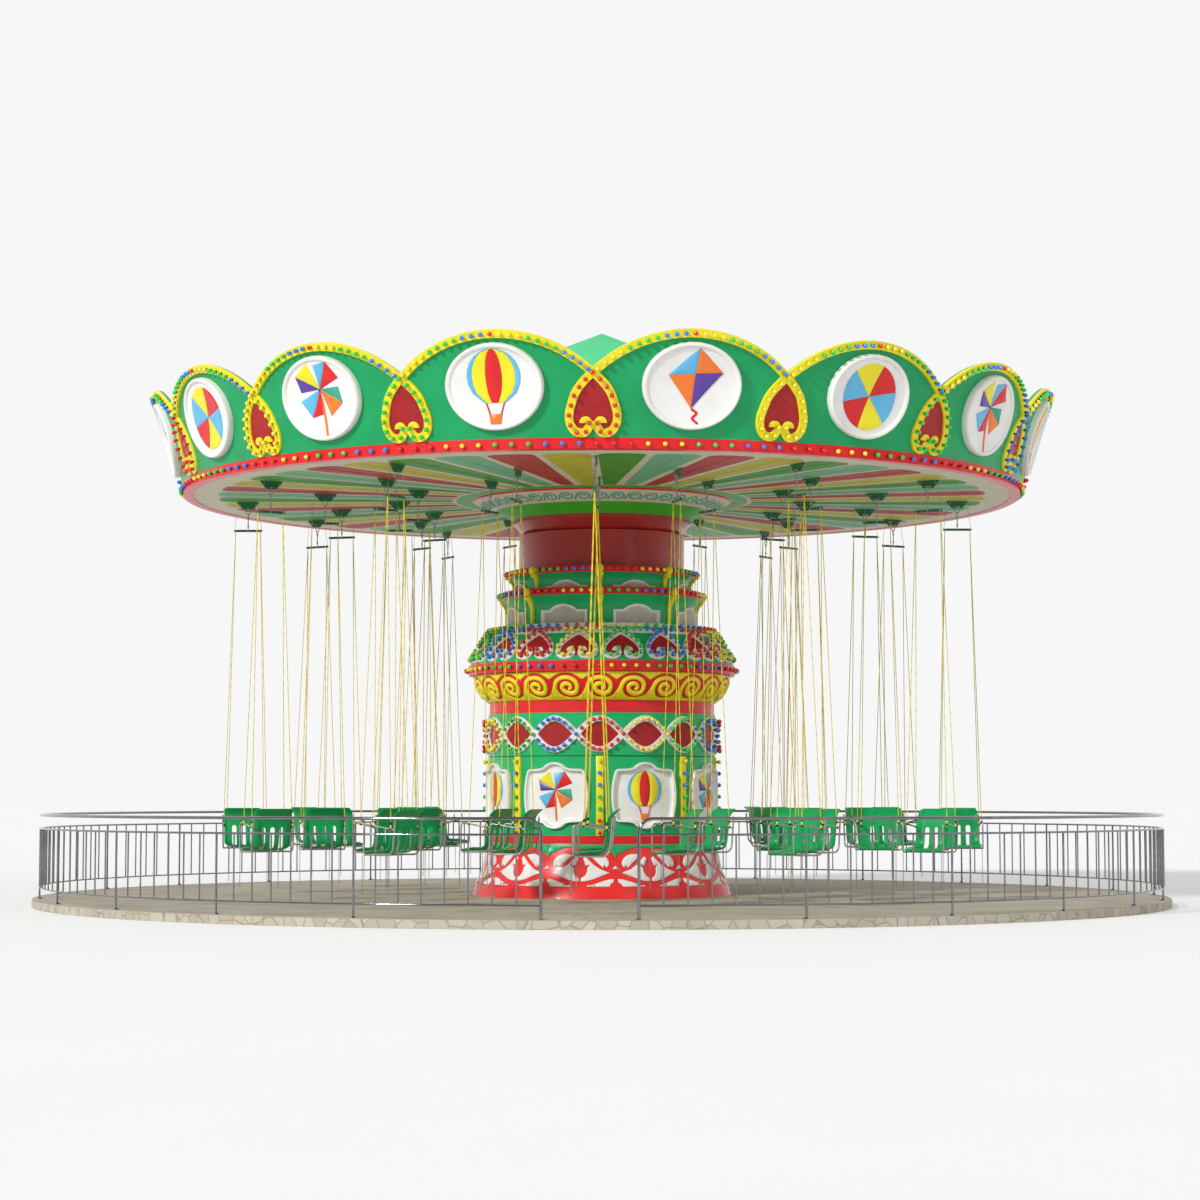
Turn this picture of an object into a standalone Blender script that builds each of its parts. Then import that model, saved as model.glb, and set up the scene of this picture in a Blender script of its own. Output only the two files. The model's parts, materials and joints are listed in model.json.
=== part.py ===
"""Chair swing ride: fixed platform, fence and column, turning crown and 36 hanging chairs.

Metres, +Z up. The origin is the centre of the platform's underside and the gate faces -Y.
Azimuths are degrees from the gate, growing towards +X. Heights are above the deck, the
platform's upper face, unless a name says otherwise.
"""

import math

import bmesh
import bpy
from mathutils import Matrix, Vector

# Gap between fixed faces that touch
GAP = 0.0003

# Platform
DECK = 0.10
PLATFORM_RADIUS = 7.60
PLATFORM_SIDES = 96

# Fence: its line runs round from the gate's right post to its left post
FENCE_RADIUS = 7.50
GATE_HALF_ANGLE = 4.07
HANDRAIL_HEIGHT = 1.094
HANDRAIL_TUBE = 0.018
HANDRAIL_BEND = 0.16
HANDRAIL_STEPS = 60
BEND_STEPS = 4
MID_RAIL_TOP = 0.932
MID_RAIL_BOTTOM = 0.908
LOW_RAIL_TOP = 0.166
LOW_RAIL_BOTTOM = 0.144
RAIL_DEPTH = 0.020
BALUSTER_WIDTH = 0.019
POST_WIDTH = 0.026
# Balusters in each bay between long posts, and the bays in each panel
BAYS = [7] * 11 + [5, 5] + [7] * 11 + [8]
PANEL_BAYS = [4, 4, 4, 4, 4, 5]

# Column: (radius, height) up each turned piece
COLUMN_SIDES = 40
SKIRT = [(1.761, GAP), (1.715, 0.149), (1.645, 0.285), (1.600, 0.430), (1.574, 0.600), (1.527, 0.600)]
BASE_BAND_TOP = 0.820
LOWER_DRUM_RADIUS = 1.530
LOWER_DRUM_TOP = 1.868
PILASTERS = 8
PILASTER_WIDTH = 0.100
PILASTER_PROUD = 0.030
UPPER_DRUM_RADIUS = 1.550
UPPER_DRUM_TOP = 2.436
BOWL = [(1.535, 2.436), (1.535, 2.609), (1.640, 2.700), (1.715, 2.830), (1.741, 2.971)]
BULB_BAND_RADIUS = 1.821
BULB_BAND_TOP = 3.109
JEWEL_CONE = [(1.794, 3.109), (1.518, 3.558), (1.518, 3.617)]
TIER_2 = [(1.276, 3.617), (1.276, 3.850), (1.330, 3.950), (1.380, 4.009), (1.380, 4.107)]
TIER_1 = [(1.188, 4.107), (1.188, 4.230), (1.240, 4.290), (1.284, 4.320), (1.284, 4.397)]
SLEEVE_RADIUS = 1.131
SLEEVE_BORE = 1.095
SLEEVE_TOP = 4.893
SLEEVE_FLOOR = 4.600
MAST_RADIUS = 0.700
MAST_TOP = 4.850

# Crown
CEILING = 5.380
CEILING_THICK = 0.045
CEILING_RADIUS = 5.560
CROWN_SIDES = 72
HUB = [(1.000, 4.850), (1.055, 4.872), (1.215, 5.050), (1.215, 5.100), (1.000, 5.100)]
HUB_RADIUS = 1.000
NECK_RING = [(1.215, 5.100), (1.250, 5.130), (1.450, 5.230), (1.768, 5.362)]
RIM_BOTTOM = 5.373
RIM_TOP = 5.506
RIM_RADIUS = 5.695
BOARDS = 16
BOARD_STEPS = 5
BOARD_LEAN = 0.308
BOARD_THICK = 0.050
BOARD_TOP = 6.740
BOARD_CUSP = 6.300
ROOF_RADIUS = 5.540
ROOF_APEX = 7.720
ROOF_THICK = 0.040
ROOF_SIDES = 48

# Hangers: one bracket under the ceiling for each chair
RINGS = [("outer", 4.88, 0.0), ("middle", 3.83, 15.0), ("inner", 2.79, 0.0)]
CHAIRS_PER_RING = 12
BRACKET_TOP_LENGTH = 0.315
BRACKET_LOW_LENGTH = 0.140
BRACKET_DROP = 0.100
BRACKET_THICK = 0.020
PIN_HEIGHT = 5.298
PIN_RADIUS = 0.0050
PIN_SIDES = 6
PIN_END = 0.0120
EYE_HALF = 0.0055
EYE_EDGE = 0.0140
HANGER_HALF_THICK = 0.008
EYE_CLEAR = 0.0007

# Chair: its own X points outward from the column, its own Y to the chair's back
BAR_LENGTH = 0.386
BAR_TOP = 5.0035
BAR_BOTTOM = 4.9665
ROPE_TOP_REACH = 0.171
ROPE_RADIUS = 0.007
ROPE_SIDES = 3
ROPE_FRONT = -0.126
ROPE_BACK = 0.150
SEAT_HALF_WIDTH = 0.290
ARM_OUTER = 0.286
ARM_WIDTH = 0.022
ARM_SETBACK = 0.003
ARM_INSET = 0.030
ARM_CHAMFER = 0.040
SEAT_FRONT = -0.258
ARM_TOP_FRONT = 1.010
ARM_TOP_BACK = 0.947
BACK_LINE = 0.190
SEAT_BOTTOM = 0.620
# Section of the moulded seat with the tubes under it: (back, height)
SHELL = [
    (SEAT_FRONT, SEAT_BOTTOM), (0.130, SEAT_BOTTOM), (0.200, 0.690), (0.216, 1.070),
    (0.310, 1.160), (0.285, 1.180), (0.165, 1.080), (0.125, 0.685), (SEAT_FRONT, 0.685),
]


def polar(radius, azimuth, height):
    """World point at a radius, an azimuth and a height above the deck."""
    turn = math.radians(azimuth)
    return Vector((radius * math.sin(turn), -radius * math.cos(turn), DECK + height))


def remove_objects():
    """Empty the scene."""
    for item in list(bpy.data.objects):
        bpy.data.objects.remove(item, do_unlink=True)


def paint(name, color, roughness, metallic=0.0):
    """Principled material of one flat colour."""
    material = bpy.data.materials.new(name)
    material.use_nodes = True
    shader = material.node_tree.nodes["Principled BSDF"]
    shader.inputs["Base Color"].default_value = (*color, 1.0)
    shader.inputs["Roughness"].default_value = roughness
    shader.inputs["Metallic"].default_value = metallic
    return material


def mesh_from(name, shape):
    """Finish a bmesh as a smooth-shaded mesh with sharp edges kept."""
    bmesh.ops.recalc_face_normals(shape, faces=shape.faces)
    mesh = bpy.data.meshes.new(name)
    shape.to_mesh(mesh)
    shape.free()
    mesh.shade_smooth()
    mesh.set_sharp_from_angle(angle=math.radians(35))
    return mesh


def place(name, mesh, material, parent=None, matrix=None):
    """Add one object to the scene."""
    item = bpy.data.objects.new(name, mesh)
    item.data.materials.clear()
    item.data.materials.append(material)
    bpy.context.collection.objects.link(item)
    item.parent = parent
    if matrix is not None:
        item.matrix_world = matrix
    return item


def turned(name, profile, sides):
    """Solid of revolution: profile lists (radius, height) once round the section."""
    shape = bmesh.new()
    rings = []
    for radius, height in profile:
        count = sides if radius > 0 else 1
        rings.append([shape.verts.new(polar(radius, 360 * k / sides, height)) for k in range(count)])
    for low, high in zip(rings, rings[1:] + rings[:1]):
        for k in range(sides):
            after = (k + 1) % sides
            corners = [
                low[k % len(low)], low[after % len(low)],
                high[after % len(high)], high[k % len(high)],
            ]
            distinct = list(dict.fromkeys(corners))
            if len(distinct) > 2:
                shape.faces.new(distinct)
    return mesh_from(name, shape)


def plate(name, polygons, near, far):
    """Flat piece with both faces and its edges: polygons are lists of 2-D points, near and far
    place such a point on each face."""
    shape = bmesh.new()
    keys = {}
    for polygon in polygons:
        for u, v in polygon:
            keys.setdefault((round(u, 6), round(v, 6)), (u, v))
    fronts = {key: shape.verts.new(near(*point)) for key, point in keys.items()}
    backs = {key: shape.verts.new(far(*point)) for key, point in keys.items()}
    edges = {}
    for polygon in polygons:
        loop = [(round(u, 6), round(v, 6)) for u, v in polygon]
        shape.faces.new([fronts[key] for key in loop])
        shape.faces.new([backs[key] for key in reversed(loop)])
        for start, end in zip(loop, loop[1:] + loop[:1]):
            edges[(start, end)] = edges.get((start, end), 0) + 1
    for start, end in edges:
        if (end, start) not in edges:
            shape.faces.new([fronts[start], backs[start], backs[end], fronts[end]])
    return mesh_from(name, shape)


def bar_between(name, start, end, radius, sides):
    """Straight bar with a regular section."""
    axis = Vector(end) - Vector(start)
    shape = bmesh.new()
    bmesh.ops.create_cone(
        shape, cap_ends=True, segments=sides, radius1=radius, radius2=radius, depth=axis.length
    )
    turn = Vector((0, 0, 1)).rotation_difference(axis).to_matrix().to_4x4()
    middle = Matrix.Translation((Vector(start) + Vector(end)) / 2)
    bmesh.ops.transform(shape, matrix=middle @ turn, verts=shape.verts)
    return mesh_from(name, shape)


def union(name, meshes):
    """One closed mesh from several that cross."""
    base = bpy.data.objects.new(name, meshes[0])
    bpy.context.collection.objects.link(base)
    others = []
    for mesh in meshes[1:]:
        other = bpy.data.objects.new(mesh.name, mesh)
        bpy.context.collection.objects.link(other)
        others.append(other)
        joint = base.modifiers.new(mesh.name, "BOOLEAN")
        joint.operation = "UNION"
        joint.solver = "EXACT"
        joint.object = other
    graph = bpy.context.evaluated_depsgraph_get()
    result = bpy.data.meshes.new_from_object(base.evaluated_get(graph))
    for item in [base] + others:
        bpy.data.objects.remove(item, do_unlink=True)
    result.name = name
    return result


def add_platform(stone):
    """The round deck that everything stands on."""
    profile = [(0, -DECK), (PLATFORM_RADIUS, -DECK), (PLATFORM_RADIUS, 0), (0, 0)]
    place("platform", turned("platform", profile, PLATFORM_SIDES), stone)


def baluster_spacing():
    """Degrees between two balusters."""
    return (360 - 2 * GATE_HALF_ANGLE) / sum(BAYS)


def fence_breaks():
    """Baluster numbers where the rails bend: each long post and each bay's middle."""
    breaks = [0]
    for bay in BAYS:
        breaks.append(breaks[-1] + (bay + 1) // 2)
        breaks.append(breaks[-1] + bay // 2)
    return breaks


def long_posts():
    """Baluster numbers of the long posts, with both gate posts."""
    posts = [0]
    for bay in BAYS:
        posts.append(posts[-1] + bay)
    return posts


def fence_point(number, height, radius):
    """Point on the fence's chords at a baluster number, which may lie between balusters."""
    breaks = fence_breaks()
    start = max(item for item in breaks[:-1] if item <= number)
    end = breaks[breaks.index(start) + 1]
    share = (number - start) / (end - start)
    first = polar(radius, GATE_HALF_ANGLE + start * baluster_spacing(), height)
    last = polar(radius, GATE_HALF_ANGLE + end * baluster_spacing(), height)
    return first.lerp(last, share)


def fence_polygons(first, last):
    """Outline pieces of one panel from baluster number first to last, chord by chord."""
    step = math.radians(baluster_spacing()) * FENCE_RADIUS
    posts = long_posts()
    gate_clear = (HANDRAIL_TUBE + GAP) / step
    breaks = [number for number in fence_breaks() if first <= number <= last]
    polygons = []
    for start, end in zip(breaks, breaks[1:]):
        left = start if start > 0 else gate_clear
        right = end
        if end == last:
            right -= gate_clear if last == sum(BAYS) else GAP / step
        low_under = [(left, LOW_RAIL_BOTTOM), (right, LOW_RAIL_BOTTOM)]
        low_over = [(right, LOW_RAIL_TOP)]
        mid_under = [(right, MID_RAIL_BOTTOM)]
        for number in range(end - 1, start - 1, -1):
            if number == 0:
                continue
            width = POST_WIDTH if number in posts else BALUSTER_WIDTH
            side = number + width / step
            low_over += [(side, LOW_RAIL_TOP), (number, LOW_RAIL_TOP)]
            mid_under += [(side, MID_RAIL_BOTTOM), (number, MID_RAIL_BOTTOM)]
            polygons.append([
                (number, LOW_RAIL_TOP), (side, LOW_RAIL_TOP),
                (side, MID_RAIL_BOTTOM), (number, MID_RAIL_BOTTOM),
            ])
            if number in posts:
                low_under.insert(1, (side, LOW_RAIL_BOTTOM))
                polygons.append([
                    (number, GAP), (side, GAP), (side, LOW_RAIL_BOTTOM), (number, LOW_RAIL_BOTTOM),
                ])
        if start == 0:
            low_over.append((left, LOW_RAIL_TOP))
            mid_under.append((left, MID_RAIL_BOTTOM))
        polygons.append(low_under + low_over)
        mid_over = [(right, MID_RAIL_TOP), (left, MID_RAIL_TOP)]
        polygons.append(mid_over + list(reversed(mid_under)))
    return polygons


def add_fence(steel):
    """Six panels of rails and balusters, each standing on its long posts."""
    posts = long_posts()
    bay = 0
    for number, bays in enumerate(PANEL_BAYS, 1):
        name = f"fence_panel_{number}"
        mesh = plate(
            name,
            fence_polygons(posts[bay], posts[bay + bays]),
            lambda u, v: fence_point(u, v, FENCE_RADIUS + RAIL_DEPTH / 2),
            lambda u, v: fence_point(u, v, FENCE_RADIUS - RAIL_DEPTH / 2),
        )
        place(name, mesh, steel)
        bay += bays


def handrail_path():
    """Centre line from one gate post's foot, round the ride, to the other's."""
    bend_angle = math.degrees(HANDRAIL_BEND / FENCE_RADIUS)
    rise = [polar(FENCE_RADIUS, GATE_HALF_ANGLE, GAP)]
    for step in range(BEND_STEPS + 1):
        turn = math.radians(90 * step / BEND_STEPS)
        azimuth = GATE_HALF_ANGLE + bend_angle * (1 - math.cos(turn))
        height = HANDRAIL_HEIGHT - HANDRAIL_BEND * (1 - math.sin(turn))
        rise.append(polar(FENCE_RADIUS, azimuth, height))
    start = GATE_HALF_ANGLE + bend_angle
    sweep = 360 - 2 * start
    line = [
        polar(FENCE_RADIUS, start + sweep * step / HANDRAIL_STEPS, HANDRAIL_HEIGHT)
        for step in range(1, HANDRAIL_STEPS)
    ]
    fall = [Vector((-point.x, point.y, point.z)) for point in reversed(rise)]
    return rise + line + fall


def add_handrail(steel):
    """Top tube of the fence with both gate posts, in one run."""
    curve = bpy.data.curves.new("handrail", "CURVE")
    curve.dimensions = "3D"
    curve.twist_mode = "MINIMUM"
    curve.bevel_depth = HANDRAIL_TUBE
    curve.bevel_resolution = 1
    curve.use_fill_caps = True
    points = handrail_path()
    spline = curve.splines.new("POLY")
    spline.points.add(len(points) - 1)
    for spot, point in zip(spline.points, points):
        spot.co = (*point, 1.0)
    place("handrail", curve, steel)


def stacked(profile, foot):
    """Close a profile to the axis, lifted a gap above what it stands on."""
    raised = [(radius, max(height, foot + GAP)) for radius, height in profile]
    return [(0, raised[0][1])] + raised + [(0, raised[-1][1])]


def drum_with_pilasters():
    """Lower drum with its eight flat upright strips."""
    half = math.degrees(PILASTER_WIDTH / 2 / LOWER_DRUM_RADIUS)
    outline = []
    for k in range(COLUMN_SIDES):
        azimuth = 360 * k / COLUMN_SIDES
        if k % (COLUMN_SIDES // PILASTERS):
            outline.append((LOWER_DRUM_RADIUS, azimuth))
            continue
        proud = LOWER_DRUM_RADIUS + PILASTER_PROUD
        outline += [
            (LOWER_DRUM_RADIUS, azimuth - half), (proud, azimuth - half),
            (proud, azimuth + half), (LOWER_DRUM_RADIUS, azimuth + half),
        ]
    shape = bmesh.new()
    low = [shape.verts.new(polar(r, a, BASE_BAND_TOP + GAP)) for r, a in outline]
    high = [shape.verts.new(polar(r, a, LOWER_DRUM_TOP)) for r, a in outline]
    shape.faces.new(list(reversed(low)))
    shape.faces.new(high)
    for k in range(len(outline)):
        after = (k + 1) % len(outline)
        shape.faces.new([low[k], low[after], high[after], high[k]])
    return mesh_from("lower_drum", shape)


def add_column(white, green, yellow, red):
    """The fixed drums, bowl, cone and tiers, stacked from the deck up."""
    skirt = SKIRT + [(SKIRT[-1][0], BASE_BAND_TOP)]
    place("skirt", turned("skirt", stacked(skirt, 0), COLUMN_SIDES), white)
    place("lower_drum", drum_with_pilasters(), green)
    drum = [(UPPER_DRUM_RADIUS, LOWER_DRUM_TOP), (UPPER_DRUM_RADIUS, UPPER_DRUM_TOP)]
    place("upper_drum", turned("upper_drum", stacked(drum, LOWER_DRUM_TOP), COLUMN_SIDES), green)
    place("spiral_bowl", turned("spiral_bowl", stacked(BOWL, UPPER_DRUM_TOP), COLUMN_SIDES), yellow)
    band = [(BULB_BAND_RADIUS, BOWL[-1][1]), (BULB_BAND_RADIUS, BULB_BAND_TOP)]
    place("bulb_band", turned("bulb_band", stacked(band, BOWL[-1][1]), COLUMN_SIDES), red)
    place("jewel_cone", turned("jewel_cone", stacked(JEWEL_CONE, BULB_BAND_TOP), COLUMN_SIDES), green)
    place("tier_2", turned("tier_2", stacked(TIER_2, JEWEL_CONE[-1][1]), COLUMN_SIDES), green)
    place("tier_1", turned("tier_1", stacked(TIER_1, TIER_2[-1][1]), COLUMN_SIDES), green)
    foot = TIER_1[-1][1] + GAP
    sleeve = [
        (0, foot), (SLEEVE_RADIUS, foot), (SLEEVE_RADIUS, SLEEVE_TOP), (SLEEVE_BORE, SLEEVE_TOP),
        (SLEEVE_BORE, SLEEVE_FLOOR), (MAST_RADIUS, SLEEVE_FLOOR), (MAST_RADIUS, MAST_TOP), (0, MAST_TOP),
    ]
    place("bearing_sleeve", turned("bearing_sleeve", sleeve, COLUMN_SIDES), red)


def board_top(azimuth):
    """Height of the boards' arched top edge, a circular arc over each board."""
    width = 360 / BOARDS
    offset = abs(azimuth % width - width / 2)
    reach = math.radians(width / 2) * (RIM_RADIUS + BOARD_LEAN * (BOARD_TOP - RIM_TOP))
    rise = BOARD_TOP - BOARD_CUSP
    radius = (reach ** 2 + rise ** 2) / (2 * rise)
    along = reach * offset / (width / 2)
    return BOARD_TOP - radius + math.sqrt(radius ** 2 - along ** 2)


def boards_mesh():
    """Ring of arched boards that lean outward."""
    shape = bmesh.new()
    columns = []
    foot = RIM_TOP + GAP
    for k in range(BOARDS * BOARD_STEPS):
        azimuth = 360 * k / (BOARDS * BOARD_STEPS)
        top = board_top(azimuth)
        spread = BOARD_LEAN * (top - RIM_TOP)
        columns.append([
            shape.verts.new(polar(RIM_RADIUS, azimuth, foot)),
            shape.verts.new(polar(RIM_RADIUS + spread, azimuth, top)),
            shape.verts.new(polar(RIM_RADIUS - BOARD_THICK + spread, azimuth, top)),
            shape.verts.new(polar(RIM_RADIUS - BOARD_THICK, azimuth, foot)),
        ])
    for here, there in zip(columns, columns[1:] + columns[:1]):
        for k in range(4):
            after = (k + 1) % 4
            shape.faces.new([here[k], there[k], there[after], here[after]])
    return mesh_from("crown_boards", shape)


def bracket_mesh():
    """Bracket plate and its pin, in a hanger's own frame: X outward, pin on the origin."""
    top = CEILING + 0.5 * CEILING_THICK - PIN_HEIGHT
    joint = CEILING - PIN_HEIGHT
    low = joint - BRACKET_DROP
    near = HANGER_HALF_THICK + EYE_CLEAR
    outline = [
        (-BRACKET_LOW_LENGTH / 2, low), (BRACKET_LOW_LENGTH / 2, low),
        (BRACKET_TOP_LENGTH / 2, joint), (BRACKET_TOP_LENGTH / 2, top),
        (-BRACKET_TOP_LENGTH / 2, top), (-BRACKET_TOP_LENGTH / 2, joint),
    ]
    web = plate(
        "bracket", [outline],
        lambda x, z: Vector((x, near, z)),
        lambda x, z: Vector((x, near + BRACKET_THICK, z)),
    )
    pin = bar_between("pin", (0, -PIN_END, 0), (0, near + BRACKET_THICK / 2, 0), PIN_RADIUS, PIN_SIDES)
    return union("bracket", [web, pin])


def hanger_matrix(radius, azimuth):
    """Frame of a hanger's pin: X outward, Y tangential towards the chair's back."""
    turn = Matrix.Rotation(math.radians(azimuth - 90), 4, "Z")
    return Matrix.Translation(polar(radius, azimuth, PIN_HEIGHT)) @ turn


def hangers():
    """Name and frame of every hanger."""
    for ring, radius, offset in RINGS:
        for k in range(CHAIRS_PER_RING):
            azimuth = offset + 360 * k / CHAIRS_PER_RING
            yield f"chair_{ring}_{k + 1:02d}", hanger_matrix(radius, azimuth)


def ceiling_mesh():
    """Ceiling disc with all the brackets under it."""
    disc = turned(
        "ceiling",
        [
            (0, CEILING), (CEILING_RADIUS, CEILING),
            (CEILING_RADIUS, CEILING + CEILING_THICK), (0, CEILING + CEILING_THICK),
        ],
        CROWN_SIDES,
    )
    bracket = bracket_mesh()
    brackets = bmesh.new()
    for _, matrix in hangers():
        copy = bracket.copy()
        copy.transform(matrix)
        brackets.from_mesh(copy)
        bpy.data.meshes.remove(copy)
    return union("ceiling", [disc, mesh_from("brackets", brackets)])


def add_crown(parent, cream, red, green, teal):
    """Everything that turns with the crown, chairs apart."""
    under = CEILING - GAP
    hub = [(0, MAST_TOP + GAP), (HUB[0][0], MAST_TOP + GAP)] + HUB[1:] + [(HUB_RADIUS, under), (0, under)]
    place("crown_hub", turned("crown_hub", hub, COLUMN_SIDES), red, parent)
    bore = HUB_RADIUS + GAP
    low = NECK_RING[0][1] + GAP
    ring = [(bore, low), (NECK_RING[0][0], low)] + NECK_RING[1:]
    ring += [(NECK_RING[-1][0], under), (bore, under)]
    place("neck_ring", turned("neck_ring", ring, COLUMN_SIDES), teal, parent)
    place("ceiling", ceiling_mesh(), cream, parent)
    inner = CEILING_RADIUS + GAP
    rim = [(inner, RIM_BOTTOM), (RIM_RADIUS, RIM_BOTTOM), (RIM_RADIUS, RIM_TOP), (inner, RIM_TOP)]
    place("rim_band", turned("rim_band", rim, CROWN_SIDES), red, parent)
    place("crown_boards", boards_mesh(), green, parent)
    eave = CEILING + CEILING_THICK + GAP
    roof = [
        (ROOF_RADIUS - 2 * ROOF_THICK, eave), (ROOF_RADIUS, eave),
        (0, ROOF_APEX), (0, ROOF_APEX - ROOF_THICK),
    ]
    place("roof", turned("roof", roof, ROOF_SIDES), green, parent)


def lifted(height):
    """Height in a hanger's own frame of a height above the deck."""
    return height - PIN_HEIGHT


def hanger_plate():
    """Flat rod with its square eye round the pin, and the spreader bar below it."""
    half = BAR_LENGTH / 2
    top = lifted(BAR_TOP)
    low = lifted(BAR_BOTTOM)
    edge = EYE_EDGE
    outer = [(-edge, edge), (edge, edge), (edge, -edge), (-edge, -edge)]
    hole = [(-EYE_HALF, EYE_HALF), (EYE_HALF, EYE_HALF), (EYE_HALF, -EYE_HALF), (-EYE_HALF, -EYE_HALF)]
    faces = [[outer[k], outer[k - 3], hole[k - 3], hole[k]] for k in range(4)]
    faces.append([(-edge, -edge), (edge, -edge), (edge, top), (-edge, top)])
    faces.append([(-half, top), (-edge, top), (edge, top), (half, top), (half, low), (-half, low)])
    return plate(
        "hanger", faces,
        lambda x, z: Vector((x, -HANGER_HALF_THICK, z)),
        lambda x, z: Vector((x, HANGER_HALF_THICK, z)),
    )


def arm_plate(side):
    """Front post and armrest of one side, let into the seat and its back."""
    front = SEAT_FRONT + ARM_SETBACK
    inner = front + ARM_WIDTH
    foot = SEAT_BOTTOM + ARM_INSET
    shoulder = ARM_TOP_FRONT - ARM_CHAMFER
    post = [(front, foot), (inner, foot), (inner, ARM_TOP_FRONT - ARM_WIDTH), (front, shoulder)]
    rest = [
        (front, shoulder), (inner, ARM_TOP_FRONT - ARM_WIDTH), (BACK_LINE, ARM_TOP_BACK - ARM_WIDTH),
        (BACK_LINE, ARM_TOP_BACK), (front + ARM_CHAMFER, ARM_TOP_FRONT),
    ]
    return plate(
        "arm", [post, rest],
        lambda y, z: Vector((side * ARM_OUTER, y, lifted(z))),
        lambda y, z: Vector((side * (ARM_OUTER - ARM_WIDTH), y, lifted(z))),
    )


def rope_bar(side, along):
    """Taut rope from the spreader bar's end to the armrest, at a place along it."""
    slope = (ARM_TOP_BACK - ARM_TOP_FRONT) / (BACK_LINE - SEAT_FRONT)
    foot = ARM_TOP_FRONT + slope * (along - SEAT_FRONT) - ARM_WIDTH / 2
    return bar_between(
        "rope",
        (side * ROPE_TOP_REACH, 0, lifted((BAR_TOP + BAR_BOTTOM) / 2)),
        (side * (ARM_OUTER - ARM_WIDTH / 2), along, lifted(foot)),
        ROPE_RADIUS, ROPE_SIDES,
    )


def chair_mesh():
    """One chair with its hanger, ropes, arms and moulded seat, pin on the origin."""
    shell = plate(
        "shell", [SHELL],
        lambda y, z: Vector((-SEAT_HALF_WIDTH, y, lifted(z))),
        lambda y, z: Vector((SEAT_HALF_WIDTH, y, lifted(z))),
    )
    pieces = [shell]
    for side in (-1, 1):
        pieces.append(arm_plate(side))
    for side in (-1, 1):
        for along in (ROPE_FRONT, ROPE_BACK):
            pieces.append(rope_bar(side, along))
    pieces.append(hanger_plate())
    return union("chair", pieces)


def add_chairs(parent, seat_green):
    """Thirty-six chairs, each turning on its own bracket pin."""
    mesh = chair_mesh()
    for name, matrix in hangers():
        place(name, mesh, seat_green, parent, matrix)


def main():
    """Build the ride."""
    remove_objects()
    stone = paint("platform stone", (0.50, 0.46, 0.37), 0.7)
    steel = paint("fence steel", (0.45, 0.45, 0.46), 0.3, 1.0)
    white = paint("relief white", (0.80, 0.80, 0.77), 0.4)
    green = paint("drum green", (0.02, 0.35, 0.14), 0.35)
    yellow = paint("bowl yellow", (0.75, 0.65, 0.05), 0.4)
    red = paint("band red", (0.70, 0.03, 0.03), 0.35)
    cream = paint("ceiling cream", (0.62, 0.56, 0.43), 0.5)
    teal = paint("neck teal", (0.15, 0.50, 0.40), 0.5)
    seat_green = paint("seat green", (0.01, 0.33, 0.11), 0.3)
    add_platform(stone)
    add_fence(steel)
    add_handrail(steel)
    add_column(white, green, yellow, red)
    crown = bpy.data.objects.new("crown_axis", None)
    bpy.context.collection.objects.link(crown)
    add_crown(crown, cream, red, green, teal)
    add_chairs(crown, seat_green)


main()
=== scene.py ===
"""Chair swing ride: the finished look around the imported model.

Metres, +Z up, gate towards -Y. Azimuths are degrees from the gate, growing towards +X.
Heights are above the deck unless a name says otherwise.
"""

import json
import logging
from dataclasses import dataclass, field
from enum import Enum
from functools import partial
from math import (asin, ceil, cos, degrees, floor, hypot, pi, radians, sin, sqrt, tan, tau)
from typing import Callable, ClassVar, Iterable, Sequence

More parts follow.
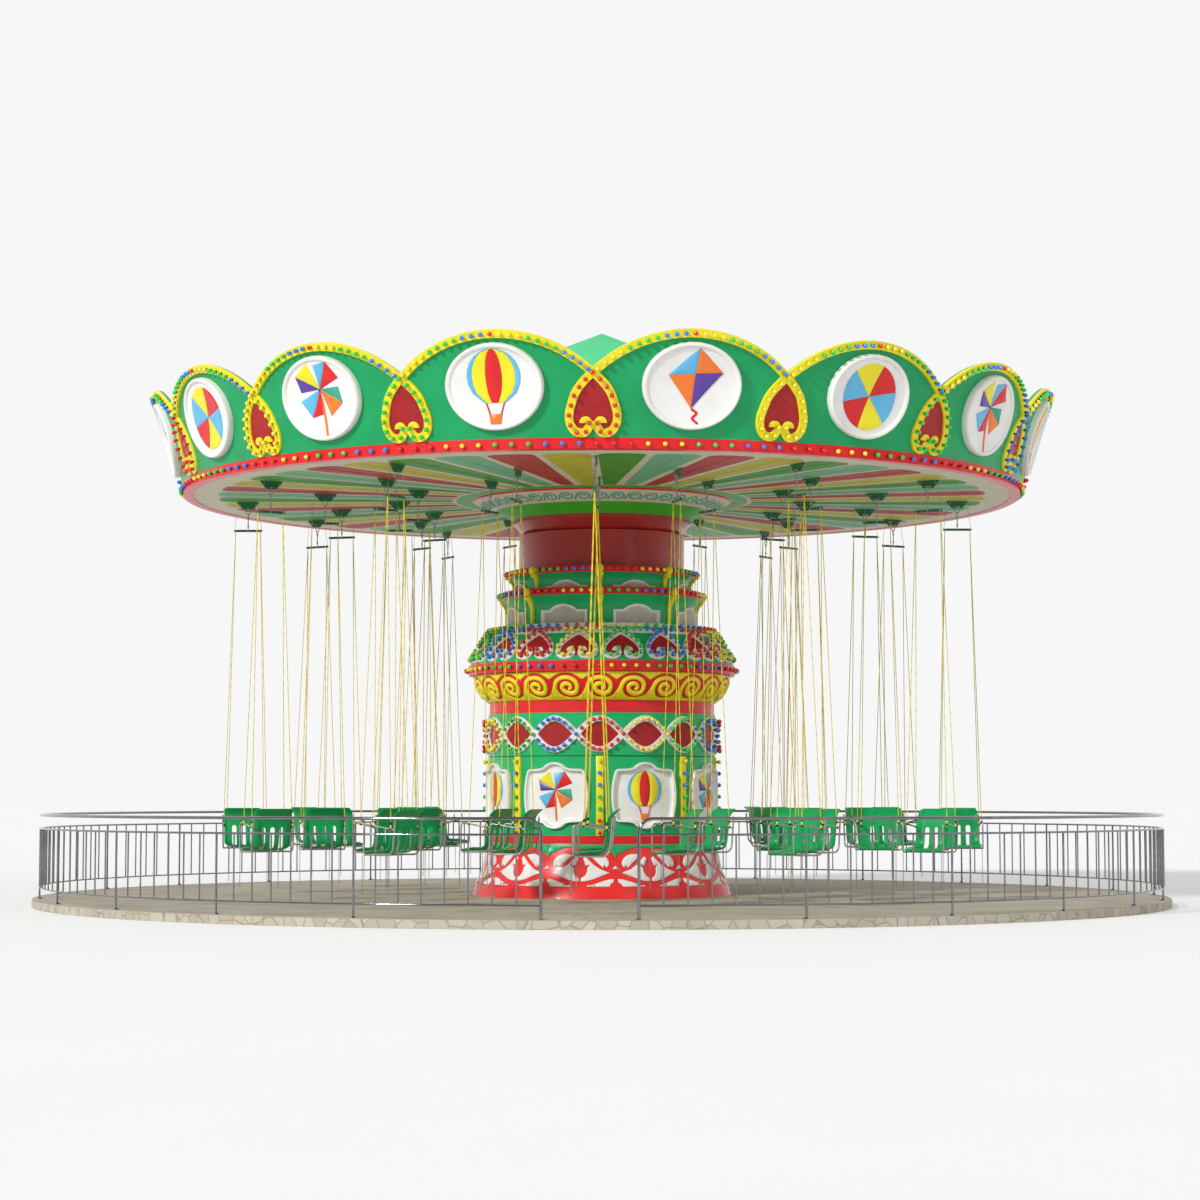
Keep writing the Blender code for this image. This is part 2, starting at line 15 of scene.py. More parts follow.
import bmesh
import bpy
from bmesh.types import BMesh, BMVert
from bpy.types import Material, Mesh, Node, NodeSocket, NodeTree
from bpy.types import bpy_prop_collection as Sockets
from mathutils import Matrix, Vector
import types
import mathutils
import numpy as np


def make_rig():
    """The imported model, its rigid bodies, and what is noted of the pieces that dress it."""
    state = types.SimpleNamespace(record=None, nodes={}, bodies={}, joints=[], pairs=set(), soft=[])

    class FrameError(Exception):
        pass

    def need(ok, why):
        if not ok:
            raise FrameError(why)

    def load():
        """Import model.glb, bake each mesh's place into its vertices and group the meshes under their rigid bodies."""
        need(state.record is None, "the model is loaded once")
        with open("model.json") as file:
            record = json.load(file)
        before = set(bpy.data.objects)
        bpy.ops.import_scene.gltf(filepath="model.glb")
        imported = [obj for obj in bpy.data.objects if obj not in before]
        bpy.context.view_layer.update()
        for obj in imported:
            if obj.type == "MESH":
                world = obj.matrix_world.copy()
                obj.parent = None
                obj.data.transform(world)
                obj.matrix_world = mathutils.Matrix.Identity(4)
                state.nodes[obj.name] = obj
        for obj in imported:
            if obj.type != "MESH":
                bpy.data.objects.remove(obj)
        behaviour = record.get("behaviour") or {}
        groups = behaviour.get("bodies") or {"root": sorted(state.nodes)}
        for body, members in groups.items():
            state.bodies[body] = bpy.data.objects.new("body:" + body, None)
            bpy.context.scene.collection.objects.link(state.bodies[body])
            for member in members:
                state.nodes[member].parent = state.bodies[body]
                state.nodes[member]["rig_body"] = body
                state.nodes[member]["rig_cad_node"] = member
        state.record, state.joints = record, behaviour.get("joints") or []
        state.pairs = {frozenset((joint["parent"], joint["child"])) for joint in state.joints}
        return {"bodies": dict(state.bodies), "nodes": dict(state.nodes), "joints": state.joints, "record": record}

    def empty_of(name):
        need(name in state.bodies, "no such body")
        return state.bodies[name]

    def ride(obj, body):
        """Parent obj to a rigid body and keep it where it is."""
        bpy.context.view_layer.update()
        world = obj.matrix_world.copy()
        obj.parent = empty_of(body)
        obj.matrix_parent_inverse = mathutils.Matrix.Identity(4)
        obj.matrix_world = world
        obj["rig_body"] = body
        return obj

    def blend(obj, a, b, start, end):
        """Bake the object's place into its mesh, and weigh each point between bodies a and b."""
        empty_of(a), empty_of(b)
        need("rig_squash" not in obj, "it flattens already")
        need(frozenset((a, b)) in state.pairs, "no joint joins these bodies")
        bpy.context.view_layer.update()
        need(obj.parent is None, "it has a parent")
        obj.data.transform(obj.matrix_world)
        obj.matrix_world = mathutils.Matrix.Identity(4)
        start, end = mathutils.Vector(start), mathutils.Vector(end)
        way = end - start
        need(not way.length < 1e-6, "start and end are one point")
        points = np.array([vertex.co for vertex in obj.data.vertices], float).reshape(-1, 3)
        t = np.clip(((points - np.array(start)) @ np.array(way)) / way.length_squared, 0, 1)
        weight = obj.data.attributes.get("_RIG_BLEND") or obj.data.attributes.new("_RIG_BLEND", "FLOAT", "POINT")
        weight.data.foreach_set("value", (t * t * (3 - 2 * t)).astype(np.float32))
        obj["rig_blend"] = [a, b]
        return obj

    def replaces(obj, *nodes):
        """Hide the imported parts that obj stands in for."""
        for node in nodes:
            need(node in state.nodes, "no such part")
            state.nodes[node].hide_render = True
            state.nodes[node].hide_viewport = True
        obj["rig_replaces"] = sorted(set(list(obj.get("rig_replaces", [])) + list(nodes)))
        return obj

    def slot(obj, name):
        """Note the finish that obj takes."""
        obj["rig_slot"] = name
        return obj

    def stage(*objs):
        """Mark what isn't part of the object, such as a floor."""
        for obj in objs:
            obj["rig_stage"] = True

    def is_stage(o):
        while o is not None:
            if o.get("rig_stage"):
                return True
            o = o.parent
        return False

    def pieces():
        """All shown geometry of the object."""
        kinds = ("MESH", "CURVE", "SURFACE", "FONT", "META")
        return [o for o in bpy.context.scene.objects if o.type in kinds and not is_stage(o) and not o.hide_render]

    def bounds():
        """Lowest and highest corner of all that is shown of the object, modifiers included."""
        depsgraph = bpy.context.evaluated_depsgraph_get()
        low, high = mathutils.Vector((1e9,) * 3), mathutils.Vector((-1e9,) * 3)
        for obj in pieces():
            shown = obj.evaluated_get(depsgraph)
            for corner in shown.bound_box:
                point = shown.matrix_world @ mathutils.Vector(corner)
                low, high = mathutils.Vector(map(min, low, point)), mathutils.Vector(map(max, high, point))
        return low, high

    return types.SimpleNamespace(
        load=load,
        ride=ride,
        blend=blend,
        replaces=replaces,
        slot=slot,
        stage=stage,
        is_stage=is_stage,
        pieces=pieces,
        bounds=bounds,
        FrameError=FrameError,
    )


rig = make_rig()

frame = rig.load()
CAD_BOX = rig.bounds()

LOG = logging.getLogger("chair_swing_ride")
DECK = 0.1
SMOOTH_SIDES = 144
MM = 1000
EASE = 0.004
Point2 = tuple[float, float]
Outline = list[Point2]
Line = tuple[Point2, ...]
Triple = tuple[float, float, float]
Mapping = Callable[[float, float, float], Vector]
Source = Node | NodeSocket


class Lamp(Enum):
    """Colours of the lamp caps."""

    RED = "#E0202A"
    YELLOW = "#F2E233"
    GREEN = "#22D04A"
    BLUE = "#1D84EC"


LAMPS = {lamp.name[0]: lamp for lamp in Lamp}


def linear(code: str) -> tuple[float, float, float, float]:
    """Turn an sRGB hex colour into Blender's linear colour.

    Args:
        code: Colour such as "#1C9C62".

    Returns:
        Linear red, green, blue and an alpha of 1.
    """
    parts = [int(code[k:k + 2], 16) / 255 for k in (1, 3, 5)]
    values = [p / 12.92 if p <= 0.04045 else ((p + 0.055) / 1.055) ** 2.4 for p in parts]
    return (*values, 1.0)


def polar(radius: float, azimuth: float, height: float) -> Vector:
    """World point at a radius, an azimuth and a height above the deck."""
    turn = radians(azimuth)
    return Vector((radius * sin(turn), -radius * cos(turn), DECK + height))


def turned(azimuth: float) -> Matrix:
    """Turn about the upright axis, in degrees."""
    return Matrix.Rotation(radians(azimuth), 4, "Z")


def add_node(tree: NodeTree, kind: str, settings: dict | None = None,
             links: dict[str | int, Source] | None = None) -> Node:
    """Add one node with its settings and the links that feed it.

    Args:
        tree: Node tree that gets the node.
        kind: Blender's type name of a new node, or the name of one that is there.
        settings: Values by input name or number, or by property name; "stops" is a
            colour ramp's pair of (place, colour code).
        links: What feeds an input, by its name or number: a socket, or a node, which
            stands for its first output.

    Returns:
        The node.
    """
    node = tree.nodes.get(kind) or tree.nodes.new(kind)
    for key, value in (settings or {}).items():
        if key == "stops":
            for stop, (place, code) in zip(node.color_ramp.elements, value):
                stop.position, stop.color = place, linear(code)
        elif hasattr(node, str(key)):
            setattr(node, key, value)
        else:
            node.inputs[key].default_value = value
    for key, source in (links or {}).items():
        output = source.outputs[0] if isinstance(source, Node) else source
        tree.links.new(output, node.inputs[key])
    return node


@dataclass(frozen=True)
class Finish:
    """Base of every surface: a Principled shader with colour mottling, roughness and bump.

    mottle_mm is the size of the colour patches, grain_mm that of the fine surface relief;
    both are coarser than in real paint, so that they show in the render.
    """

    name: str
    colour: str
    second: str = ""
    roughness: float = 0.35
    rough_spread: float = 0.08
    metallic: float = 0.0
    coat: float = 0.0
    mottle_mm: float = 350.0
    grain_mm: float = 12.0
    bump: float = 0.04
    specular: float = 0.5

    def pattern(self, tree: NodeTree, place: NodeSocket) -> tuple[Source, Source]:
        """Colour and height of the surface.

        Args:
            tree: Material's node tree.
            place: Object coordinates.

        Returns:
            What gives the colour, and what gives the height.
        """
        add = partial(add_node, tree)
        patches = add("ShaderNodeTexNoise", {"Scale": MM / self.mottle_mm, "Detail": 4.0,
                                             "Roughness": 0.6}, {"Vector": place})
        stops = [(0.35, self.second or self.colour), (0.65, self.colour)]
        colour = add("ShaderNodeValToRGB", {"stops": stops}, {"Fac": patches})
        grain = add("ShaderNodeTexNoise", {"Scale": MM / self.grain_mm, "Detail": 3.0},
                    {"Vector": place})
        return colour, grain

    def material(self) -> Material:
        """Build the material, or return it where it was built before."""
        made = bpy.data.materials.get(self.name)
        if made:
            return made
        made = bpy.data.materials.new(self.name)
        made.use_nodes = True
        tree = made.node_tree
        add = partial(add_node, tree)
        place = add("ShaderNodeTexCoord").outputs["Object"]
        colour, height = self.pattern(tree, place)
        wear = add("ShaderNodeTexNoise", {"Scale": 2.5 * MM / self.mottle_mm, "Detail": 5.0},
                   {"Vector": place})
        gloss = add("ShaderNodeMapRange", {"To Min": self.roughness - self.rough_spread,
                                           "To Max": self.roughness + self.rough_spread},
                    {"Value": wear})
        relief = add("ShaderNodeBump", {"Strength": self.bump, "Distance": self.grain_mm / MM},
                     {"Height": height})
        values = {"Metallic": self.metallic, "Coat Weight": self.coat, "Coat Roughness": 0.08}
        if not self.metallic:
            values["Specular IOR Level"] = self.specular
        add("Principled BSDF", values, {"Base Color": colour, "Roughness": gloss,
                                        "Normal": relief})
        made.diffuse_color = linear(self.colour)
        return made


@dataclass(frozen=True)
class PavingStone(Finish):
    """Sawn sandstone slabs: grainy, matt, with darker joints that run out to the kerb.

    The courses are rings, each shifted from the last by a part of a slab. The deck's
    upright edge, the kerb, is of irregular stones.
    """

    slab_degrees: float = 3.2
    course: float = 0.62
    shift: float = 0.37
    kerb_mm: float = 190.0
    joint: str = "#9D9683"
    kerb_stops: tuple[str, str] = ("#A8A191", "#BCB5A5")
    kerb_joint: str = "#948C79"

    def pattern(self, tree: NodeTree, place: NodeSocket) -> tuple[Source, Source]:
        """Colour and height of the slabs, with joints in rings and between slabs.

        Args:
            tree: Material's node tree.
            place: Object coordinates.

        Returns:
            What gives the colour, and what gives the height.
        """
        add = partial(add_node, tree)
        axes = add("ShaderNodeSeparateXYZ", {}, {0: place}).outputs
        angle = add("ShaderNodeMath", {"operation": "ARCTAN2"}, {0: axes["X"], 1: axes["Y"]})
        flat = add("ShaderNodeVectorMath", {"operation": "MULTIPLY", 1: (1, 1, 0)}, {0: place})
        reach = add("ShaderNodeVectorMath", {"operation": "LENGTH"}, {0: flat})
        ring = add("ShaderNodeMath", {"operation": "DIVIDE", 1: self.course},
                   {0: reach.outputs["Value"]})
        course = add("ShaderNodeMath", {"operation": "FLOOR"}, {0: ring})
        stagger = add("ShaderNodeMath", {"operation": "MULTIPLY", 1: self.shift}, {0: course})
        slab = add("ShaderNodeMath", {"operation": "MULTIPLY_ADD",
                                      1: degrees(1) / self.slab_degrees}, {0: angle, 2: stagger})
        number = add("ShaderNodeMath", {"operation": "FLOOR"}, {0: slab})
        cell = add("ShaderNodeCombineXYZ", {}, {"X": number, "Y": course})
        tint = add("ShaderNodeTexWhiteNoise", {}, {"Vector": cell})
        edges = []
        for source, width in ((slab, 0.035), (ring, 0.01)):
            part = add("ShaderNodeMath", {"operation": "PINGPONG", 1: 0.5}, {0: source})
            edges.append(add("ShaderNodeMapRange", {"From Max": width}, {"Value": part}))
        solid = add("ShaderNodeMath", {"operation": "MINIMUM"}, {0: edges[0], 1: edges[1]})
        stain = add("ShaderNodeTexNoise", {"Scale": 1.6, "Detail": 6.0}, {"Vector": place})
        mixed = add("ShaderNodeMath", {"operation": "MULTIPLY_ADD", 1: 0.3}, {0: tint, 2: stain})
        ground = add("ShaderNodeValToRGB", {"stops": [(0.4, self.second), (0.85, self.colour)]},
                     {"Fac": mixed})
        paved = add("ShaderNodeMix", {"data_type": "RGBA", 6: linear(self.joint)},
                    {0: solid, 7: ground}).outputs[2]
        top = add("ShaderNodeMath", {"operation": "GREATER_THAN", 1: DECK - 0.0015},
                  {0: axes["Z"]})
        colour = add("ShaderNodeMix", {"data_type": "RGBA"},
                     {0: top, 6: self.kerb(tree, place), 7: paved}).outputs[2]
        grit = add("ShaderNodeTexNoise", {"Scale": MM / self.grain_mm, "Detail": 5.0},
                   {"Vector": place})
        height = add("ShaderNodeMath", {"operation": "MULTIPLY"}, {0: grit, 1: solid})
        return colour, height

    def kerb(self, tree: NodeTree, place: NodeSocket) -> NodeSocket:
        """Colour of the irregular stones in the deck's upright edge, with pale joints.

        Args:
            tree: Material's node tree.
            place: Object coordinates.

        Returns:
            The colour.
        """
        add = partial(add_node, tree)
        scale = MM / self.kerb_mm
        stones = add("ShaderNodeTexVoronoi", {"Scale": scale}, {"Vector": place})
        joints = add("ShaderNodeTexVoronoi", {"feature": "DISTANCE_TO_EDGE", "Scale": scale},
                     {"Vector": place})
        tone = add("ShaderNodeSeparateColor", {}, {0: stones.outputs["Color"]})
        dark, light = map(linear, self.kerb_stops)
        stone = add("ShaderNodeMix", {"data_type": "RGBA", 6: dark, 7: light},
                    {0: tone}).outputs[2]
        solid = add("ShaderNodeMapRange", {"From Min": 0.02, "From Max": 0.045},
                    {"Value": joints.outputs["Distance"]})
        return add("ShaderNodeMix", {"data_type": "RGBA", 6: linear(self.kerb_joint)},
                   {0: solid, 7: stone}).outputs[2]


@dataclass(frozen=True)
class LaidRope(Finish):
    """Polyester rope of twisted strands: diagonal strand bands about 15 mm long, with painted light on the crests and
    painted shade in the grooves.
    """

    lay_mm: float = 15.0

    def pattern(self, tree: NodeTree, place: NodeSocket) -> tuple[Source, Source]:
        """Colour of the strands, with painted shade in their grooves, and their height.

        Args:
            tree: Material's node tree.
            place: Object coordinates.

        Returns:
            What gives the colour, and what gives the height.
        """
        add = partial(add_node, tree)
        strands = add("ShaderNodeTexWave", {"bands_direction": "DIAGONAL",
                                            "Scale": 314 / self.lay_mm / 5, "Distortion": 0.6},
                      {"Vector": place}).outputs["Fac"]
        # The darker second colour in the grooves is painted shade, and the paler crests are painted light.
        stops = [(0.15, self.second), (0.6, self.colour)]
        colour = add("ShaderNodeValToRGB", {"stops": stops}, {"Fac": strands})
        return colour, strands


@dataclass(frozen=True)
class Satin(Finish):
    """Sprayed satin enamel, with a soft sheen."""

    roughness: float = 0.55
    specular: float = 0.3


# Sawn stone scatters light: warm, dry and matt, with 9 mm grit.
STONE = PavingStone("sawn sandstone slabs", "#C0B9A9", "#A9A292", roughness=0.78, grain_mm=9.0,
                    bump=0.25, specular=0.3)
# Drawn tube is bright and mirrors its surround in long streaks.
STEEL = Finish("drawn stainless tube", "#8F8F93", "#7D7D81", roughness=0.1, rough_spread=0.03,
               metallic=1.0, mottle_mm=120.0, grain_mm=4.0, bump=0.0)
# Thin chrome on bent tube: paler, with a broad, soft highlight.
CHROME = Finish("bright chromed tube", "#B4B2AC", "#A3A19B", roughness=0.4, metallic=0.7,
                mottle_mm=90.0, grain_mm=4.0, bump=0.0)
# Dipped zinc sets in pale and dark spangles, drawn 30 mm wide so that they show.
ZINC = Finish("hot-dip galvanised steel", "#B4B4B0", "#8F908E", roughness=0.42, metallic=0.9,
              mottle_mm=30.0, grain_mm=6.0, bump=0.08)
# Enamel brushed on flows out almost flat: full colour under a thin gloss.
DRUM_GREEN = Finish("brushed-on gloss enamel, green", "#19B067", "#13A55E", roughness=0.34,
                    coat=0.06, specular=0.34)
# Sprayed enamel is even, and its fine orange peel breaks up the highlights.
BOARD_GREEN = Finish("sprayed satin enamel, board green", "#189F60", "#139757", roughness=0.36,
                     rough_spread=0.05, specular=0.26)
LEAF_GREEN = Satin("sprayed satin enamel, leaf green", "#45B02C", "#3DA526", roughness=0.5)
# Dipped enamel runs thick: dark, with soft edges.
BRACKET_GREEN = Finish("dipped enamel, dark green", "#0E6B3C", "#0B5C33", roughness=0.4)
# Gloss enamel over a primer: clear colours that catch sharp, small highlights.
RED = Finish("gloss enamel, signal red", "#DF2629", "#D21F23", roughness=0.33, coat=0.06,
             specular=0.32)
SKIRT_RED = Finish("gloss enamel, poppy red", "#F0302E", "#E52A29", roughness=0.3, coat=0.1,
                   specular=0.4)
# Satin enamel in the hearts: dark and quiet behind the raised bands.
DEEP_RED = Finish("satin enamel, deep red", "#AC2427", "#9D1E21", roughness=0.38, specular=0.26)
# A clear coat gives the brick red its wet look.
WALL_RED = Finish("gloss enamel, brick red", "#A92B26", "#9C2622", roughness=0.32, coat=0.25)
# Lemon gloss enamel stays bright in the shade of the crown.
YELLOW = Finish("gloss enamel, lemon yellow", "#EFE32A", "#E6D920", roughness=0.36, coat=0.08,
                specular=0.3)
# White gloss on moulded relief shows each form by its soft shade.
WHITE = Finish("gloss enamel, white on moulded relief", "#ECEBE8", "#E2E1DC", roughness=0.38,
               coat=0.1, specular=0.3)
# Satin enamels of the underside: chalky, with a faint sheen at a low angle.
CREAM = Satin("satin enamel, cream", "#D8D1BB", "#CEC6AF")
TEAL = Satin("satin enamel, teal", "#3FA98A", "#379C7E", roughness=0.5)
WEDGES = (Satin("satin enamel, wedge green", "#4C9C33", "#43902C"),
          Satin("satin enamel, wedge mint", "#74B78E", "#6AAD84"),
          Satin("satin enamel, wedge red", "#B8413D", "#A93733"),
          Satin("satin enamel, wedge yellow", "#C3BB3C", "#B9B035"))
GREY = Satin("satin enamel, warm grey", "#B9B6AC", "#ADA99F", roughness=0.5)
# Weathered spray paint on the roof: pale, nearly without a highlight.
ROOF_MINT = Satin("sprayed satin enamel, roof mint", "#46DC8F", "#3ED486", roughness=0.5,
                  rough_spread=0.05, specular=0.12)
# Thin gloss colours of the pictures.
SKY = Finish("gloss enamel, sky blue", "#63B8E0", "#56AEDA", roughness=0.36)
ORANGE = Finish("gloss enamel, orange", "#EE7B26", "#E6701D", roughness=0.36)
VIOLET = Finish("gloss enamel, violet", "#5B3A9B", "#533392", roughness=0.36)
# Moulded plastics: even colour right through, with a skin as smooth as the mould.
SOCKET = Finish("moulded black lampholder", "#1B1D1C", "#151616", roughness=0.5, specular=0.3,
                grain_mm=3.0)
SEAT = Finish("moulded polyethylene, seat green", "#12A35C", "#0F9853", roughness=0.3,
              rough_spread=0.04, mottle_mm=220.0, grain_mm=2.5, specular=0.3)
# Rubber swallows light: black, with a dull bloom.
RUBBER = Finish("black rubber", "#1E1E1F", "#161617", roughness=0.6, specular=0.3, grain_mm=3.0)
# Laid rope shows the slant of its strands: paler crests as painted light, darker grooves between them as painted
# shade.
ROPE = LaidRope("laid polyester rope, yellow", "#E6D23C", "#C9B32C", roughness=0.8, bump=0.3,
                specular=0.2)
# Rolled matt paint, so plain that only shadows show on it.
FLOOR = Finish("matt studio floor", "#F0F0F0", "#EFEFEF", roughness=0.9, specular=0.1,
               mottle_mm=2500.0)
PAINT_SLOTS = {RED: "red_paint", WALL_RED: "red_paint", YELLOW: "yellow_paint"}


def lamp_finish(lamp: Lamp) -> Finish:
    """Moulded acrylic cap of a lamp: glossy, evenly coloured."""
    return Finish(f"acrylic lamp cap, {lamp.name.lower()}", lamp.value, roughness=0.16,
                  rough_spread=0.03, coat=0.6, grain_mm=8.0, bump=0.0)


def finished_mesh(shape: BMesh, angle: float = 35.0) -> Mesh:
    """Turn a bmesh into a smooth mesh with its sharp edges kept.

    Args:
        shape: Closed shape; it is freed.
        angle: Edges sharper than this many degrees stay sharp.

    Returns:
        The mesh.
    """
    bmesh.ops.remove_doubles(shape, verts=shape.verts, dist=0.00005)
    bmesh.ops.recalc_face_normals(shape, faces=shape.faces)
    mesh = bpy.data.meshes.new("shape")
    shape.to_mesh(mesh)
    shape.free()
    mesh.shade_smooth()
    mesh.set_sharp_from_angle(angle=radians(angle))
    return mesh


def joined(meshes: Iterable[Mesh]) -> Mesh:
    """Join meshes into one and keep each one's materials.

    Args:
        meshes: Meshes that are used up.

    Returns:
        The joined mesh.
    """
    shape = bmesh.new()
    materials: list[Material] = []
    for mesh in meshes:
        materials += [item for item in mesh.materials if item not in materials]
        table = [materials.index(item) for item in mesh.materials]
        before = len(shape.faces)
        shape.from_mesh(mesh)
        shape.faces.ensure_lookup_table()
        for face in shape.faces[before:]:
            face.material_index = table[face.material_index] if table else 0
        bpy.data.meshes.remove(mesh)
    result = bpy.data.meshes.new("joined")
    shape.to_mesh(result)
    shape.free()
    for material in materials:
        result.materials.append(material)
    return result


def painted(mesh: Mesh, finish: Finish) -> Mesh:
    """Give a whole mesh one finish."""
    mesh.materials.clear()
    mesh.materials.append(finish.material())
    return mesh


def skinned(rings: Sequence[Sequence[Vector]], closed: bool = False, angle: float = 40.0) -> Mesh:
    """Closed mesh over rings of points, each joined to the next.

    Args:
        rings: Rings of equally many points; one that shrinks to the axis has one point.
        closed: Whether the last ring joins the first; otherwise both ends are capped.
        angle: Edges sharper than this many degrees stay sharp.

    Returns:
        The mesh.
    """
    shape = bmesh.new()
    made = [[shape.verts.new(point) for point in ring] for ring in rings]
    count = max(map(len, made))
    for low, high in zip(made, made[1:] + (made[:1] if closed else [])):
        for k in range(count):
            after = (k + 1) % count
            corners = dict.fromkeys((low[k % len(low)], low[after % len(low)],
                                     high[after % len(high)], high[k % len(high)]))
            if len(corners) > 2:
                shape.faces.new(list(corners))
    if not closed:
        for ring in (made[0], made[-1]):
            if len(ring) > 2:
                shape.faces.new(ring)
    return finished_mesh(shape, angle)


def lathe(profile: Sequence[Point2], sides: int = SMOOTH_SIDES, closed: bool = False) -> Mesh:
    """Turned shell from a profile of (radius, height), closed to the axis or on itself.

    Args:
        profile: Points up the section.
        sides: Facets round.
        closed: Whether the profile is a loop; otherwise both ends run in to the axis.

    Returns:
        The mesh.
    """
    points = list(profile)
    if not closed:
        points = [(0.0, points[0][1])] + points + [(0.0, points[-1][1])]
    rings = [[polar(radius, 360 * k / sides, height) for k in range(sides if radius else 1)]
             for radius, height in points]
    return skinned(rings, closed, 30.0)


def eased(radius: float, low: float, high: float) -> Outline:
    """Section of an upright round band with eased edges."""
    return [(radius - EASE, low), (radius, low + EASE), (radius, high - EASE),
            (radius - EASE, high)]


def tube(path: Sequence[Vector], radius: float, sides: int = 8, closed: bool = False) -> Mesh:
    """Round bar along a path, turned as little as possible from point to point.

    Args:
        path: Centre line.
        radius: Radius of the bar.
        sides: Facets round.
        closed: Whether the path is a loop.

    Returns:
        The mesh.
    """
    section = arc_points((0.0, 0.0), radius, 0, 360, sides)[:-1]
    last = len(path) - 1
    rings, side = [], None
    for k, point in enumerate(path):
        before = path[k - 1 if closed or k else 0]
        after = path[(k + 1) % (last + 1) if closed else min(k + 1, last)]
        ahead = (after - before).normalized()
        side = (side - ahead * side.dot(ahead) if side else ahead.orthogonal()).normalized()
        top = side.cross(ahead)
        rings.append([point + side * x + top * y for x, y in section])
    return skinned(rings, closed, 50.0)


def arc_points(centre: Point2, radius: float, start: float, end: float, steps: int) -> Outline:
    """Points of a flat arc from one angle to another.

    Args:
        centre: Middle of the arc.
        radius: Its radius.
        start: First angle, in degrees.
        end: Last angle, in degrees.
        steps: Pieces between them.

    Returns:
        The points.
    """
    turns = [radians(start + (end - start) * k / steps) for k in range(steps + 1)]
    return [(centre[0] + radius * cos(turn), centre[1] + radius * sin(turn)) for turn in turns]


def smooth_line(points: Sequence[Point2], steps: int, closed: bool = False) -> Outline:
    """Catmull-Rom curve through flat points.

    Args:
        points: Points that it passes.
        steps: Pieces between two of them.
        closed: Whether it is a loop.

    Returns:
        The denser line.
    """
    count = len(points)
    found = []
    for k in range(count if closed else count - 1):
        a, b, c, d = (points[j % count if closed else min(max(j, 0), count - 1)]
                      for j in range(k - 1, k + 3))
        for step in range(steps):
            t = step / steps
            found.append(tuple(0.5 * (2 * q + (r - p) * t + (2 * p - 5 * q + 4 * r - s) * t ** 2
                                      + (3 * q - p - 3 * r + s) * t ** 3)
                               for p, q, r, s in zip(a, b, c, d)))
    return found if closed else found + [tuple(points[-1])]


def mirrored(points: Sequence[Point2]) -> Outline:
    """Flat points mirrored about u = 0, in the opposite order."""
    return [(-u, v) for u, v in reversed(points)]


@dataclass(frozen=True)
class Skin:
    """Turned surface that reliefs lie on: profile is (radius, height) going up.

    u is the way along the arc at the reference radius, v the height, w the distance proud.
    """

    profile: Line
    reference: float

    def at(self, u: float, v: float, w: float) -> Vector:
        """World point of a place on the surface, around azimuth 0.

        Args:
            u: Way along the arc.
            v: Height.
            w: Distance proud.

        Returns:
            The point.
        """
        low, high = next((pair for pair in zip(self.profile, self.profile[1:]) if v <= pair[1][1]),
                         self.profile[-2:])
        share = (v - low[1]) / (high[1] - low[1])
        out = Vector((high[1] - low[1], low[0] - high[0])).normalized()
        return polar(low[0] + (high[0] - low[0]) * share + w * out.x, degrees(u / self.reference),
                     v + w * out.y)

    def arc(self, angle: float) -> float:
        """Length u of an angle in degrees."""
        return radians(angle) * self.reference


def wall(radius: float) -> Skin:
    """Skin of an upright round wall."""
    return Skin(((radius, 0.0), (radius, 1.0)), radius)


ROUNDED = ((-1, 0.0), (-1, 0.45), (-0.75, 0.82), (-0.3, 1.0), (0.3, 1.0), (0.75, 0.82), (1, 0.45),
           (1, 0.0))
FLAT = ((-1, 0.0), (-1, 0.8), (-0.93, 1.0), (0.93, 1.0), (1, 0.8), (1, 0.0))
MOULDING = ((-1, 0.0), (-1, 0.04), (-0.3, 0.1), (0.08, 0.26), (0.26, 0.62), (0.34, 0.95),
            (0.42, 1.0), (0.86, 1.0), (1, 0.86), (1, 0.0))
SUNK = -0.006


def ribbon(path: Sequence[Point2], half: float, proud: float, mapping: Mapping,
           section: Sequence[Point2] = FLAT, closed: bool = False,
           widths: Sequence[float] | None = None) -> Mesh:
    """Raised band that follows a flat path laid on a surface.

    Args:
        path: Centre line as (u, v).
        half: Half of the band's width.
        proud: Height of the band over the surface.
        mapping: Place on the surface.
        section: Upper outline across, as (-1 to 1, 0 to 1).
        closed: Whether the path is a loop.
        widths: Scale of the width at each point.

    Returns:
        Closed mesh.
    """
    line = [Vector(point) for point in path]
    last = len(line) - 1
    rings = []
    for k, here in enumerate(line):
        back = here - line[k - 1 if closed or k else 0]
        ahead = line[(k + 1) % (last + 1) if closed else min(k + 1, last)] - here
        back = (back if back.length > 1e-9 else ahead).normalized()
        ahead = ahead.normalized() if ahead.length > 1e-9 else back
        along = back + ahead if (back + ahead).length > 1e-6 else ahead
        normal = along.normalized().orthogonal()
        mitre = min(1 / max(normal.dot(ahead.orthogonal()), 0.5), 2.0)
        size = half * mitre * (widths[k] if widths else 1.0)
        spots = [(here + normal * across * size, up) for across, up in section]
        rings.append([mapping(spot.x, spot.y, up * proud if up else SUNK) for spot, up in spots])
    return skinned(rings, closed)


